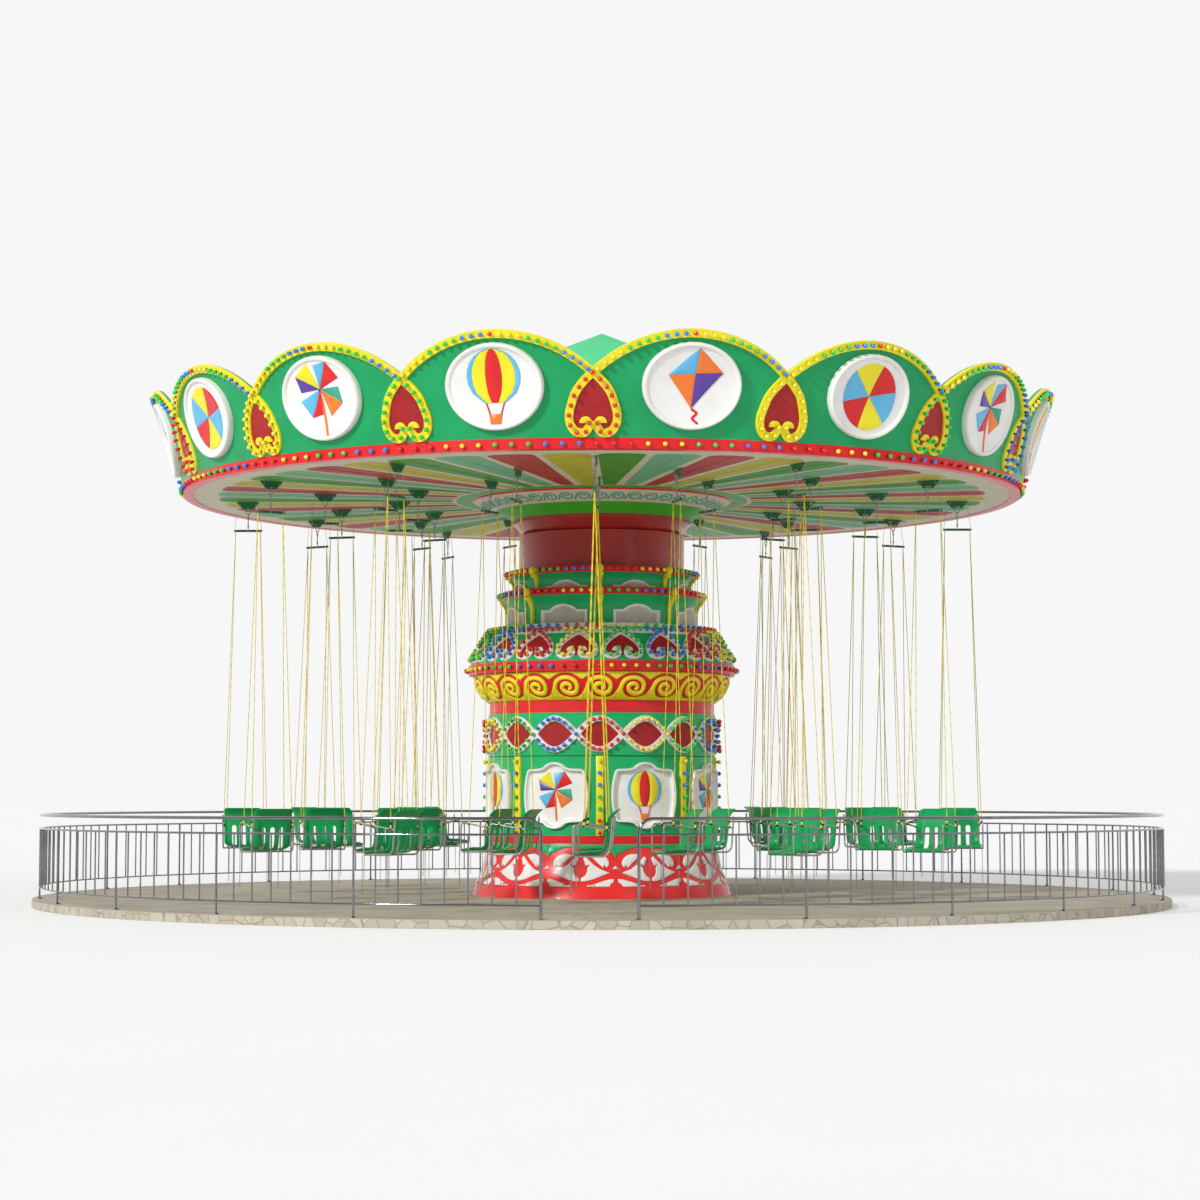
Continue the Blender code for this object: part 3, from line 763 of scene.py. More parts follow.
def relief(loops: Sequence[Sequence[Point2]], proud: float, mapping: Mapping, soften: float = 0.0,
           grid: float = 0.1, base: float = SUNK, rows: float = 0.0) -> Mesh:
    """Raised flat shape with holes, laid on a surface.

    Args:
        loops: Outlines, those of holes among them.
        proud: Height over the surface.
        mapping: Place on the surface.
        soften: Width of the sloped border.
        grid: Spacing of the cuts that let it follow the curve.
        base: Height of its hidden back.
        rows: Spacing of the level cuts, or 0 for none.

    Returns:
        Closed mesh.
    """
    shape = bmesh.new()
    for loop in loops:
        verts = [shape.verts.new((u, v, 0)) for u, v in loop]
        for here, there in zip(verts, verts[1:] + verts[:1]):
            shape.edges.new((here, there))
    bmesh.ops.triangle_fill(shape, use_beauty=True, edges=shape.edges[:], normal=(0, 0, 1))
    for axis, size in ((Vector((1, 0, 0)), grid), (Vector((0, 1, 0)), rows)):
        reach = [vert.co.dot(axis) for vert in shape.verts]
        cuts = range(ceil(min(reach) / size), floor(max(reach) / size) + 1) if size else ()
        for k in cuts:
            everything = shape.verts[:] + shape.edges[:] + shape.faces[:]
            bmesh.ops.bisect_plane(shape, geom=everything, plane_co=axis * (k * size),
                                   plane_no=axis, dist=0.00002)
    for face in shape.faces:
        if face.normal.z < 0:
            face.normal_flip()
    copied = bmesh.ops.duplicate(shape, geom=shape.verts[:] + shape.edges[:] + shape.faces[:])
    under = {item for item in copied["geom"] if isinstance(item, BMVert)}
    top = [face for face in shape.faces if not under.intersection(face.verts)]
    rim = [edge for edge in shape.edges if len(edge.link_faces) == 1
           and not under.intersection(edge.verts)]
    walls = bmesh.ops.extrude_edge_only(shape, edges=rim)
    under.update(item for item in walls["geom"] if isinstance(item, BMVert))
    for vert in under:
        vert.co.z = base
    for vert in {vert for face in top for vert in face.verts}:
        vert.co.z = proud - soften * 0.7
    if soften:
        bmesh.ops.inset_region(shape, faces=top, thickness=soften, use_boundary=True,
                               use_even_offset=False)
        for vert in {vert for face in top for vert in face.verts}:
            vert.co.z = proud
    for vert in shape.verts:
        vert.co = mapping(*vert.co)
    return finished_mesh(shape, 50.0)


def tree_socket(tree: NodeTree, name: str) -> str:
    """Identifier of a tree's named input."""
    return next(item.identifier for item in tree.interface.items_tree if item.item_type == "SOCKET"
                and item.in_out == "INPUT" and item.name == name)


def empty_tree(name: str, floats: Sequence[str], counts: Sequence[str] = ()
               ) -> tuple[NodeTree, Sockets]:
    """New Geometry Nodes tree with a geometry input, named sizes and a material input.

    Args:
        name: Name of the tree.
        floats: Names of its lengths and angles.
        counts: Names of its whole numbers.

    Returns:
        The tree and its inputs by name.
    """
    tree = bpy.data.node_groups.new(name, "GeometryNodeTree")
    kinds = {"Geometry": "Geometry", **dict.fromkeys(floats, "Float"),
             **dict.fromkeys(counts, "Int"), "Material": "Material"}
    for label, kind in kinds.items():
        tree.interface.new_socket(label, in_out="INPUT", socket_type=f"NodeSocket{kind}")
    tree.interface.new_socket("Geometry", in_out="OUTPUT", socket_type="NodeSocketGeometry")
    return tree, add_node(tree, "NodeGroupInput").outputs


def end_tree(tree: NodeTree, given: Sockets, points: Source, form: Source,
             turn: Source) -> NodeTree:
    """Close a tree: stand the form on the points, realize it and set the material.

    Args:
        tree: The tree.
        given: Its inputs.
        points: Places of the form.
        form: Geometry that is repeated.
        turn: Rotation at each place.

    Returns:
        The same tree.
    """
    add = partial(add_node, tree)
    spread = add("GeometryNodeInstanceOnPoints", {},
                 {"Points": points, "Instance": form, "Rotation": turn})
    real = add("GeometryNodeRealizeInstances", {}, {"Geometry": spread})
    covered = add("GeometryNodeSetMaterial", {}, {"Geometry": real, "Material": given["Material"]})
    add("NodeGroupOutput", {}, {"Geometry": covered})
    return tree


def ring_tree() -> NodeTree:
    """Tree that repeats its geometry round the upright axis."""
    tree, given = empty_tree("repeat round the axis", ("First", "Step"), ("Count",))
    add = partial(add_node, tree)
    points = add("GeometryNodePoints", {}, {"Count": given["Count"]})
    index = add("GeometryNodeInputIndex")
    turn = add("ShaderNodeMath", {"operation": "MULTIPLY_ADD"},
               {0: index, 1: given["Step"], 2: given["First"]})
    angles = add("ShaderNodeCombineXYZ", {}, {"Z": turn})
    return end_tree(tree, given, points, given["Geometry"], angles)


def lamp_tree(globe: bool) -> NodeTree:
    """Tree that stands a round form on each vertex of its geometry, along the way it points.

    Args:
        globe: Whether the form is a lamp's globe; otherwise it is a socket.

    Returns:
        The tree.
    """
    tree, given = empty_tree("lamps on points", ("Radius", "Lift"), ("Sides", "Rings"))
    add = partial(add_node, tree)
    if globe:
        form = add("GeometryNodeMeshUVSphere", {},
                   {"Radius": given["Radius"], "Segments": given["Sides"],
                    "Rings": given["Rings"]})
    else:
        form = add("GeometryNodeMeshCylinder", {"fill_type": "NONE"},
                   {"Radius": given["Radius"], "Vertices": given["Sides"], "Depth": given["Lift"]})
    smooth = add("GeometryNodeSetShadeSmooth", {}, {"Geometry": form})
    rise = add("ShaderNodeMath", {"operation": "MULTIPLY", 1: 1.0 if globe else 0.5},
               {0: given["Lift"]})
    above = add("ShaderNodeCombineXYZ", {}, {"Z": rise})
    lifted = add("GeometryNodeTransform", {}, {"Geometry": smooth, "Translation": above})
    out = add("GeometryNodeInputNamedAttribute", {"data_type": "FLOAT_VECTOR", "Name": "out"})
    turn = add("FunctionNodeAlignRotationToVector", {"axis": "Z"}, {"Vector": out})
    return end_tree(tree, given, given["Geometry"], lifted, turn)


def link_tree() -> NodeTree:
    """Tree that hangs chain links on its vertices, each turned a quarter from the last."""
    tree, given = empty_tree("chain links on points", ("Length", "Width", "Wire"))
    add = partial(add_node, tree)
    loop = add("GeometryNodeCurvePrimitiveCircle", {"Resolution": 7}, {"Radius": given["Width"]})
    long = add("ShaderNodeCombineXYZ", {"X": 1.0, "Z": 1.0}, {"Y": given["Length"]})
    upright = add("GeometryNodeTransform", {"Rotation": (pi / 2, 0, 0)},
                  {"Geometry": loop, "Scale": long})
    wire = add("GeometryNodeCurvePrimitiveCircle", {"Resolution": 3}, {"Radius": given["Wire"]})
    link = add("GeometryNodeCurveToMesh", {}, {"Curve": upright, "Profile Curve": wire})
    quarter = add("ShaderNodeMath", {"operation": "MULTIPLY", 1: pi / 2},
                  {0: add("GeometryNodeInputIndex")})
    angles = add("ShaderNodeCombineXYZ", {}, {"Z": quarter})
    return end_tree(tree, given, given["Geometry"], link, angles)


def grown(mesh: Mesh, tree: NodeTree, finish: Finish, **sizes: float) -> Mesh:
    """Run a Geometry Nodes tree on a mesh and keep the plain result.

    Args:
        mesh: Geometry that the tree starts from; it is removed.
        tree: Geometry Nodes tree.
        finish: Finish of the result.
        sizes: Values by the name of the input, in small letters.

    Returns:
        Plain mesh.
    """
    carrier = bpy.data.objects.new("carrier", mesh)
    bpy.context.scene.collection.objects.link(carrier)
    growth = carrier.modifiers.new("growth", "NODES")
    growth.node_group = tree
    for label, value in sizes.items():
        growth[tree_socket(tree, label.capitalize())] = value
    growth[tree_socket(tree, "Material")] = finish.material()
    graph = bpy.context.evaluated_depsgraph_get()
    result = bpy.data.meshes.new_from_object(carrier.evaluated_get(graph))
    carrier.modifiers.remove(growth)
    bpy.data.objects.remove(carrier)
    bpy.data.meshes.remove(mesh)
    return result


def ring_of(mesh: Mesh, finish: Finish, count: int, first: float = 0.0,
            step: float | None = None) -> Mesh:
    """Repeat a mesh round the axis.

    Args:
        mesh: Unit at azimuth 0.
        finish: Finish of the result.
        count: Number of units.
        first: Azimuth of the first, in degrees.
        step: Degrees between two; all the way round unless given.

    Returns:
        Plain mesh.
    """
    return grown(mesh, ring_tree(), finish, count=count, first=radians(first),
                 step=radians(step or 360 / count))


class Assembly:
    """Sub-assembly: its pieces ride on one body and share a slot, unless told otherwise."""

    body: ClassVar[str] = "base"
    slot: ClassVar[str] = "column_paint"

    def put(self, name: str, mesh: Mesh, finish: Finish, *replaced: str,
            ring: Sequence[float] = (), slot: str = "", body: str = "",
            blend: Sequence[Vector] = ()) -> None:
        """Put a finished piece in the scene and tie it to its body.

        Args:
            name: Name of the piece.
            mesh: Mesh with its place in it.
            finish: Finish, unless the mesh already has materials.
            replaced: Nodes that it stands for.
            ring: Count and first azimuth of a unit that is repeated round the axis.
            slot: Material slot, unless the finish or the assembly gives it.
            body: Body that carries it, unless the assembly gives it.
            blend: Where its bend between the crown and the body starts and ends.
        """
        if ring:
            mesh = ring_of(mesh, finish, *ring)
        if not mesh.materials:
            mesh.materials.append(finish.material())
        mesh.name = name
        piece = bpy.data.objects.new(name, mesh)
        bpy.context.scene.collection.objects.link(piece)
        body = body or self.body
        if blend:
            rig.blend(piece, "crown", body, *blend)
        else:
            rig.ride(piece, body)
        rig.slot(piece, slot or PAINT_SLOTS.get(finish, self.slot))
        if replaced:
            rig.replaces(piece, *replaced)
        LOG.info("%s: %d faces on %s", name, len(mesh.polygons), body)


@dataclass
class LampField(Assembly):
    """All the lamps on one body: coloured globes on short dark sockets.

    They are gathered by colour and made at the end; each spot is a foot and a way out.
    """

    title: str
    body: str = "base"
    slot: str = "column_paint"
    radius: float = 0.029
    lift: float = 0.039
    sides: int = 10
    rings: int = 6
    socket_radius: float = 0.017
    socket_sides: int = 6
    spots: dict[Lamp, list[tuple[Vector, Vector]]] = field(default_factory=dict)

    def add(self, lamp: Lamp, skin: Skin, azimuth: float, u: float, v: float,
            proud: float) -> None:
        """Add one lamp to a surface.

        Args:
            lamp: Colour.
            skin: Surface.
            azimuth: Turn of the unit that it belongs to.
            u: Way along the arc, in that unit.
            v: Height.
            proud: Height of its foot over the surface.
        """
        turn = turned(azimuth).to_3x3()
        foot, tip = skin.at(u, v, proud), skin.at(u, v, proud + 0.01)
        self.spots.setdefault(lamp, []).append((turn @ foot, turn @ (tip - foot).normalized()))

    def ring(self, radius: float, height: float, count: int, colours: Sequence[Lamp],
             first: float = 0.0) -> None:
        """Add a ring of lamps round the axis.

        Args:
            radius: Radius of the wall that they stand on.
            height: Height of their centres.
            count: Number round.
            colours: Colours in order of growing azimuth, repeated both ways from the first,
                so that their seam lies opposite it.
            first: Azimuth of the first.
        """
        for k in range(-count // 2 + 1, count // 2 + 1):
            self.add(colours[k % len(colours)], wall(radius), first + 360 * k / count, 0.0, height,
                     0.0)

    def points(self, spots: Sequence[tuple[Vector, Vector]]) -> Mesh:
        """Loose vertices that carry the way out."""
        mesh = bpy.data.meshes.new("lamp places")
        mesh.from_pydata([tuple(foot) for foot, _ in spots], [], [])
        ways = mesh.attributes.new("out", "FLOAT_VECTOR", "POINT")
        ways.data.foreach_set("vector", [value for _, out in spots for value in out])
        return mesh

    def build(self) -> None:
        """Make one piece of each colour, and one of all the sockets."""
        for lamp, spots in self.spots.items():
            cap = lamp_finish(lamp)
            globes = grown(self.points(spots), lamp_tree(True), cap, radius=self.radius,
                           sides=self.sides, rings=self.rings, lift=self.lift)
            self.put(f"{self.title}_lamps_{lamp.name.lower()}", globes, cap)
        everywhere = [spot for spots in self.spots.values() for spot in spots]
        sockets = grown(self.points(everywhere), lamp_tree(False), SOCKET, lift=self.lift,
                        radius=self.socket_radius, sides=self.socket_sides)
        self.put(f"{self.title}_lamp_sockets", sockets, SOCKET)


@dataclass
class Studio:
    """Camera, lights and floor."""

    distance: float = 36.564
    height: float = 1.445
    camera_azimuth: float = 1.0
    tilt: float = 94.19
    turn: float = 1.04
    lens: float = 80.08
    sensor: float = 36.0
    backdrop: float = 0.93
    ambient: float = 0.54
    gloss_front: float = 0.06
    gloss_back: float = 1.0
    floor_glow: float = 0.135
    floor_radius: float = 260.0
    key: tuple[float, float, tuple[float, ...]] = (2.35, 7.0, (63.0, 0.0, -42.0))
    fill: tuple[float, float, tuple[float, ...]] = (0.35, 40.0, (65.0, 0.0, 40.0))

    def build(self) -> None:
        """Make all of it."""
        scene = bpy.context.scene
        scene.view_settings.view_transform = "Standard"
        data = bpy.data.cameras.new("camera")
        data.lens = self.lens
        data.sensor_width = self.sensor
        data.clip_end = 500
        camera = bpy.data.objects.new("camera", data)
        camera.location = polar(self.distance, self.camera_azimuth, self.height - DECK)
        camera.rotation_euler = (radians(self.tilt), 0, radians(self.turn))
        scene.collection.objects.link(camera)
        scene.camera = camera
        self.sky()
        self.sun("key light", *self.key)
        self.sun("fill light", *self.fill)
        self.floor()

    def sky(self) -> None:
        """White surround; a dark card behind the camera deepens what gloss reflects."""
        world = bpy.data.worlds.new("studio surround")
        world.use_nodes = True
        tree = world.node_tree
        add = partial(add_node, tree)
        tree.nodes.clear()
        white = linear("#FFFFFF")
        seen = add("ShaderNodeLightPath").outputs
        way = add("ShaderNodeTexCoord").outputs["Generated"]
        axes = add("ShaderNodeSeparateXYZ", {}, {0: way})
        card = add("ShaderNodeMapRange", {"interpolation_type": "SMOOTHSTEP", "From Min": -0.75,
                                          "From Max": 0.55, "To Min": self.gloss_front,
                                          "To Max": self.gloss_back}, {"Value": axes.outputs["Y"]})
        ambient = add("ShaderNodeBackground", {"Color": white, "Strength": self.ambient})
        gloss = add("ShaderNodeBackground", {"Color": white}, {"Strength": card})
        backdrop = add("ShaderNodeBackground", {"Color": white, "Strength": self.backdrop})
        both = add("ShaderNodeMixShader", {}, {0: seen["Is Glossy Ray"], 1: ambient, 2: gloss})
        every = add("ShaderNodeMixShader", {}, {0: seen["Is Camera Ray"], 1: both, 2: backdrop})
        add("ShaderNodeOutputWorld", {}, {"Surface": every})
        bpy.context.scene.world = world

    def sun(self, name: str, strength: float, softness: float, angles: tuple[float, ...]) -> None:
        """Add a broad distant light.

        Args:
            name: Name of the light.
            strength: Power.
            softness: Apparent size in degrees.
            angles: Rotation in degrees.
        """
        data = bpy.data.lights.new(name, "SUN")
        data.energy = strength
        data.angle = radians(softness)
        light = bpy.data.objects.new(name, data)
        light.rotation_euler = tuple(map(radians, angles))
        bpy.context.scene.collection.objects.link(light)

    def floor(self) -> None:
        """Plain pale floor."""
        shape = bmesh.new()
        bmesh.ops.create_circle(shape, cap_ends=True, segments=64, radius=self.floor_radius)
        mesh = bpy.data.meshes.new("studio_floor")
        shape.to_mesh(mesh)
        shape.free()
        mesh.transform(Matrix.Translation((0, 0, -0.002)))
        mesh.materials.append(FLOOR.material())
        add_node(mesh.materials[0].node_tree, "Principled BSDF",
                 {"Emission Color": linear("#FFFFFF"), "Emission Strength": self.floor_glow})
        piece = bpy.data.objects.new("studio_floor", mesh)
        bpy.context.scene.collection.objects.link(piece)
        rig.stage(piece)


@dataclass
class Platform(Assembly):
    """Round deck of stone slabs with a slightly rounded edge."""

    slot = "stone"
    radius: float = 7.6
    edge: float = 0.012
    sides: int = 192
    rings: tuple[float, ...] = (7.2, 6.4, 5.2, 3.8, 2.4, 1.0)

    def build(self) -> None:
        """Make the deck."""
        round_edge = arc_points((self.radius - self.edge, -self.edge), self.edge, 0, 90, 2)
        profile = [(self.radius, -DECK)] + round_edge + [(r, 0.0) for r in self.rings]
        mesh = lathe(profile, self.sides)
        self.put("platform_deck", mesh, STONE, "platform")


@dataclass
class Fence(Assembly):
    """Ring of round tubes: handrail, two rails, balusters, long posts with foot plates."""

    slot = "fence_steel"
    radius: float = 7.5
    gate: float = 4.07
    rail_height: float = 1.094
    tube: float = 0.018
    bend: float = 0.16
    mid: float = 0.92
    low: float = 0.155
    mid_tube: float = 0.0125
    low_tube: float = 0.0105
    baluster: float = 0.0095
    post: float = 0.013
    plate: tuple[float, float] = (0.045, 0.008)
    collar: tuple[float, float] = (0.024, 0.02)
    bays: tuple[int, ...] = (7,) * 11 + (5, 5) + (7,) * 11 + (8,)
    steps: int = 240

    def line(self, start: float, height: float) -> list[Vector]:
        """Arc round the fence at a height, from an azimuth to the one that mirrors it."""
        return [polar(self.radius, start + (360 - 2 * start) * k / self.steps, height)
                for k in range(self.steps + 1)]

    def handrail(self) -> Mesh:
        """Top tube that bends down into both gate posts."""
        angle = degrees(self.bend / self.radius)
        rise = [polar(self.radius, self.gate, 0.0), polar(self.radius, self.gate, 0.5)]
        for along, up in arc_points((0.0, 0.0), 1.0, 180, 90, 8):
            rise.append(polar(self.radius, self.gate + angle * (1 + along),
                              self.rail_height - self.bend * (1 - up)))
        line = self.line(self.gate + angle, self.rail_height)[1:-1]
        fall = [Vector((-p.x, p.y, p.z)) for p in reversed(rise)]
        return tube(rise + line + fall, self.tube, 16)

    def upright(self, radius: float, low: float) -> Mesh:
        """One round upright at azimuth 0, up to the mid rail."""
        return tube([polar(self.radius, 0, low), polar(self.radius, 0, self.mid)], radius, 12)

    def foot(self, azimuth: float) -> Mesh:
        """Round foot plate with a collar."""
        shape = bmesh.new()
        for radius, height in (self.plate, self.collar):
            bmesh.ops.create_cone(shape, cap_ends=True, segments=18, radius1=radius,
                                  radius2=radius * 0.94, depth=height,
                                  matrix=Matrix.Translation((0, 0, height / 2)))
        mesh = finished_mesh(shape, 40.0)
        mesh.transform(Matrix.Translation(polar(self.radius - 0.01, azimuth, 0)))
        return mesh

    def build(self) -> None:
        """Make the whole fence."""
        self.put("handrail_tube", self.handrail(), STEEL, "handrail")
        panels = [f"fence_panel_{k}" for k in range(1, 7)]
        rails = [tube(self.line(self.gate, height), size, 12)
                 for height, size in ((self.mid, self.mid_tube), (self.low, self.low_tube))]
        self.put("fence_rails", joined(rails), STEEL, *panels)
        count = sum(self.bays)
        spacing = (360 - 2 * self.gate) / count
        bars = ring_of(self.upright(self.baluster, self.low), STEEL, count - 1,
                       self.gate + spacing, spacing)
        self.put("fence_balusters", bars, STEEL)
        posts = []
        for bay in range(1, len(self.bays)):
            azimuth = self.gate + sum(self.bays[:bay]) * spacing
            post = self.upright(self.post, 0.0)
            post.transform(turned(azimuth))
            posts += [post, self.foot(azimuth)]
        posts += [self.foot(self.gate), self.foot(-self.gate)]
        self.put("fence_posts", joined(posts), STEEL)


@dataclass
class Skirt(Assembly):
    """Flared foot of the column: red, with white floral relief and a green scalloped edge."""

    slot = "relief_paint"
    profile: Line = (
        (1.761, 0.0), (1.755, 0.02), (1.715, 0.149), (1.672, 0.22), (1.645, 0.285), (1.618, 0.36),
        (1.6, 0.43), (1.585, 0.51), (1.572, 0.6), (1.548, 0.72))
    reference: float = 1.62
    band: Triple = (1.552, 0.72, 0.82)
    sides: int = 96
    repeats: int = 11
    first: float = -9.0
    foot: float = 0.149
    proud: float = 0.018
    soften: float = 0.01
    field_half: Line = (
        (0.383, 0.188), (0.26, 0.236), (0.17, 0.296), (0.1, 0.365), (0.066, 0.4), (0.034, 0.374),
        (0.052, 0.33), (0.068, 0.282), (0.128, 0.292), (0.094, 0.256), (0.089, 0.2), (0.064, 0.15),
        (0.016, 0.118), (0.013, 0.08), (0.06, 0.078), (0.15, 0.098), (0.26, 0.142))
    petal: Line = (
        (0.345, 0.262), (0.375, 0.296), (0.366, 0.352), (0.318, 0.405), (0.232, 0.432),
        (0.135, 0.42), (0.175, 0.368), (0.245, 0.305), (0.3, 0.258), (0.318, 0.292))
    leaf: Line = (
        (0.092, 0.012), (0.2, 0.046), (0.3, 0.082), (0.39, 0.106), (0.438, 0.106), (0.43, 0.066),
        (0.4, 0.05), (0.378, 0.012))
    bud: Line = (
        (-0.054, 0.232), (0.0, 0.236), (0.054, 0.232), (0.02, 0.258), (0.0, 0.284), (-0.02, 0.258))
    notch: Line = ((0.0, 0.392), (0.02, 0.418), (0.042, 0.446), (0.075, 0.45))
    wave: Line = ((-0.3, 0.492), (-0.21, 0.516), (-0.1, 0.52))
    edge_top: float = 0.705

    def half(self) -> float:
        """Half of one unit's length round the skirt."""
        return pi / self.repeats * self.reference

    def raised(self, shape: Sequence[Point2]) -> Outline:
        """Outline set on the flare's foot."""
        return [(u, v + self.foot) for u, v in shape]

    def white_shapes(self) -> list[Outline]:
        """Outlines of one unit of the relief; u = 0 is the tulip's middle."""
        shapes = [self.field_half, smooth_line(self.petal, 4, True), self.leaf]
        shapes += [mirrored(shape) for shape in shapes]
        shapes.append([(u + self.half(), v) for u, v in self.bud])
        return [self.raised(shape) for shape in shapes]

    def scallop(self) -> Outline:
        """Outline of one unit of the green edge; the notch lies at the unit's end."""
        half = self.half()
        low = [(u - half, v) for u, v in self.notch] + list(self.wave)
        edge = low + [(0.0, 0.508)] + mirrored(low)
        return self.raised(edge) + [(half, self.edge_top), (-half, self.edge_top)]

    def build(self) -> None:
        """Make the skirt, its relief and its bands."""
        at = Skin(self.profile, self.reference).at
        radius, low, high = self.band
        ease = 0.012
        closed = list(self.profile) + [(radius - ease - 0.02, low)]
        self.put("skirt_body", lathe(closed, self.sides), SKIRT_RED, "skirt")
        whites = [relief([shape], self.proud, at, self.soften) for shape in self.white_shapes()]
        self.put("skirt_relief", joined(whites), WHITE, ring=(self.repeats, self.first))
        greens = relief([self.scallop()], 0.014, at, 0.004)
        self.put("skirt_scallops", greens, DRUM_GREEN, ring=(self.repeats, self.first))
        band = [(radius - ease, low), (radius, low + EASE), (radius, high - EASE),
                (radius - ease, high)]
        self.put("base_band", lathe(band, self.sides), RED)


class Toy(Enum):
    """Toys of the moulded pictures."""

    BALL = "ball"
    KITE = "kite"
    TOP = "spinning top"
    PARASOL = "parasol"
    BALLOON = "hot-air balloon"
    WINDMILL = "paper windmill"


ToyPart = tuple[Finish, Outline]


def bar(start: Point2, end: Point2, half: float) -> Outline:
    """Flat bar from one point to another."""
    along = Vector((end[0] - start[0], end[1] - start[1])).normalized() * half
    return [(start[0] + along.y, start[1] - along.x), (end[0] + along.y, end[1] - along.x),
            (end[0] - along.y, end[1] + along.x), (start[0] - along.y, start[1] + along.x)]


def gores(radius: float, middle: float, lowest: float,
          finishes: Sequence[Finish]) -> list[ToyPart]:
    """Upright slices of a disc, as on a balloon or a parasol.

    Args:
        radius: Radius of the disc.
        middle: Height of its middle.
        lowest: Lowest point kept, in radii from the middle.
        finishes: One for each slice, from the left.

    Returns:
        The slices.
    """
    steps = 9
    levels = [lowest + (0.999 - lowest) * sin(pi / 2 * k / steps) for k in range(steps + 1)]
    parts = []
    for k, finish in enumerate(finishes):
        left, right = ([(radius * sin(pi * (edge / len(finishes) - 0.5)) * sqrt(1 - level ** 2),
                         middle + radius * level) for level in levels] for edge in (k, k + 1))
        parts.append((finish, right + left[-2::-1]))
    return parts


def toy_parts(toy: Toy) -> list[ToyPart]:
    """Coloured shapes of one toy, about 2 high, on the point (0, 0).

    Args:
        toy: The toy.

    Returns:
        Finish and outline of each shape.
    """
    if toy is Toy.BALL:
        return [(finish, [(0.0, 0.0)] + arc_points((0.0, 0.0), 0.84, 60 * k + 12, 60 * k + 72, 6))
                for k, finish in enumerate((RED, YELLOW, SKY, RED, YELLOW, SKY))]
    if toy is Toy.KITE:
        corners = [(0.14, 0.95), (0.78, 0.34), (0.0, -0.56), (-0.62, 0.26)]
        parts = [(finish, [(0.08, 0.3), corners[k], corners[(k + 1) % 4]])
                 for k, finish in enumerate((ORANGE, VIOLET, ORANGE, SKY))]
        tail = [(0.0, -0.56), (0.16, -0.66), (0.02, -0.8), (0.18, -0.92)]
        parts += [(RED, bar(a, b, 0.03)) for a, b in zip(tail, tail[1:])]
        return parts
    if toy is Toy.TOP:
        levels = [(0.95, 0.07), (0.6, 0.07), (0.42, 0.42), (0.14, 0.78), (-0.12, 0.74),
                  (-0.48, 0.36), (-0.9, 0.03)]
        return [(finish, [(-b[1], b[0]), (b[1], b[0]), (a[1], a[0]), (-a[1], a[0])])
                for a, b, finish in zip(levels, levels[1:],
                                        (ORANGE, SKY, RED, YELLOW, VIOLET, ORANGE))]
    if toy is Toy.PARASOL:
        parts = [(ORANGE, bar((0.0, -0.05), (0.0, -0.8), 0.035)),
                 (ORANGE, bar((0.0, -0.8), (-0.2, -0.86), 0.035))]
        return parts + gores(0.92, -0.05, 0.0, (RED, YELLOW, RED, YELLOW, RED))
    if toy is Toy.BALLOON:
        parts = [(ORANGE, [(-0.14, -0.92), (0.14, -0.92), (0.18, -0.68), (-0.18, -0.68)]),
                 (RED, bar((-0.15, -0.68), (-0.24, -0.4), 0.018)),
                 (RED, bar((0.15, -0.68), (0.24, -0.4), 0.018))]
        return parts + gores(0.7, 0.24, -0.92, (SKY, YELLOW, RED, YELLOW, SKY))
    parts = [(ORANGE, bar((0.0, 0.0), (0.06, -0.95), 0.035))]
    for k, (sail, fold) in enumerate(((RED, SKY), (YELLOW, VIOLET), (SKY, RED), (ORANGE, TEAL))):
        turn = Matrix.Rotation(radians(90 * k + 20), 2)
        for finish, outline in ((sail, [(0.0, 0.0), (0.74, 0.0), (0.6, 0.52)]),
                                (fold, [(0.0, 0.0), (0.6, 0.52), (0.18, 0.6)])):
            parts.append((finish, [tuple(turn @ Vector(point) + Vector((0.0, 0.22)))
                                   for point in outline]))
    return parts


def toy_picture(toy: Toy, mapping: Mapping, size: float) -> Mesh:
    """Low relief of a toy, with its enamel colours.

    Args:
        toy: The toy.
        mapping: Place on the surface, from the picture's middle.
        size: Half of the picture's height.

    Returns:
        Mesh with its materials.
    """
    made = []
    for finish, outline in toy_parts(toy):
        loop = [(u * size, v * size) for u, v in outline]
        made.append(painted(relief([loop], 0.011, mapping, 0.006, 0.1, -0.004, 0.1), finish))
    return joined(made)


def toy_ring(mapping: Mapping, size: float, count: int, stride: int, first: int) -> Mesh:
    """Toys in all the dishes or frames of a ring, half a unit on from the gate.

    Args:
        mapping: Place on the surface, from a picture's middle.
        size: Half of a picture's height.
        count: Pictures round.
        stride: Toys from one picture to the next.
        first: Number of the first toy.

    Returns:
        Mesh with its materials.
    """
    toys = list(Toy)
    made = [toy_picture(toys[(stride * k + first) % len(toys)], mapping, size)
            for k in range(count)]
    for k, picture in enumerate(made):
        picture.transform(turned(360 * (k + 0.5) / count))
    return joined(made)


def spaced(path: Sequence[Point2], count: int, start: float = 0.5) -> Outline:
    """Evenly spaced points along a flat path.

    Args:
        path: The path.
        count: Number of steps, and of points.
        start: Place of the first point, in steps from the path's start.

    Returns:
        The points.
    """
    lengths = [0.0]
    for (a, b), (c, d) in zip(path, path[1:]):
        lengths.append(lengths[-1] + hypot(c - a, d - b))
    found = []
    for k in range(count):
        wanted = lengths[-1] * (k + start) / count
        j = next(j for j in range(1, len(lengths)) if lengths[j] >= wanted - 1e-9)
        share = (wanted - lengths[j - 1]) / (lengths[j] - lengths[j - 1])
        (a, b), (c, d) = path[j - 1], path[j]
        found.append((a + (c - a) * share, b + (d - b) * share))
    return found


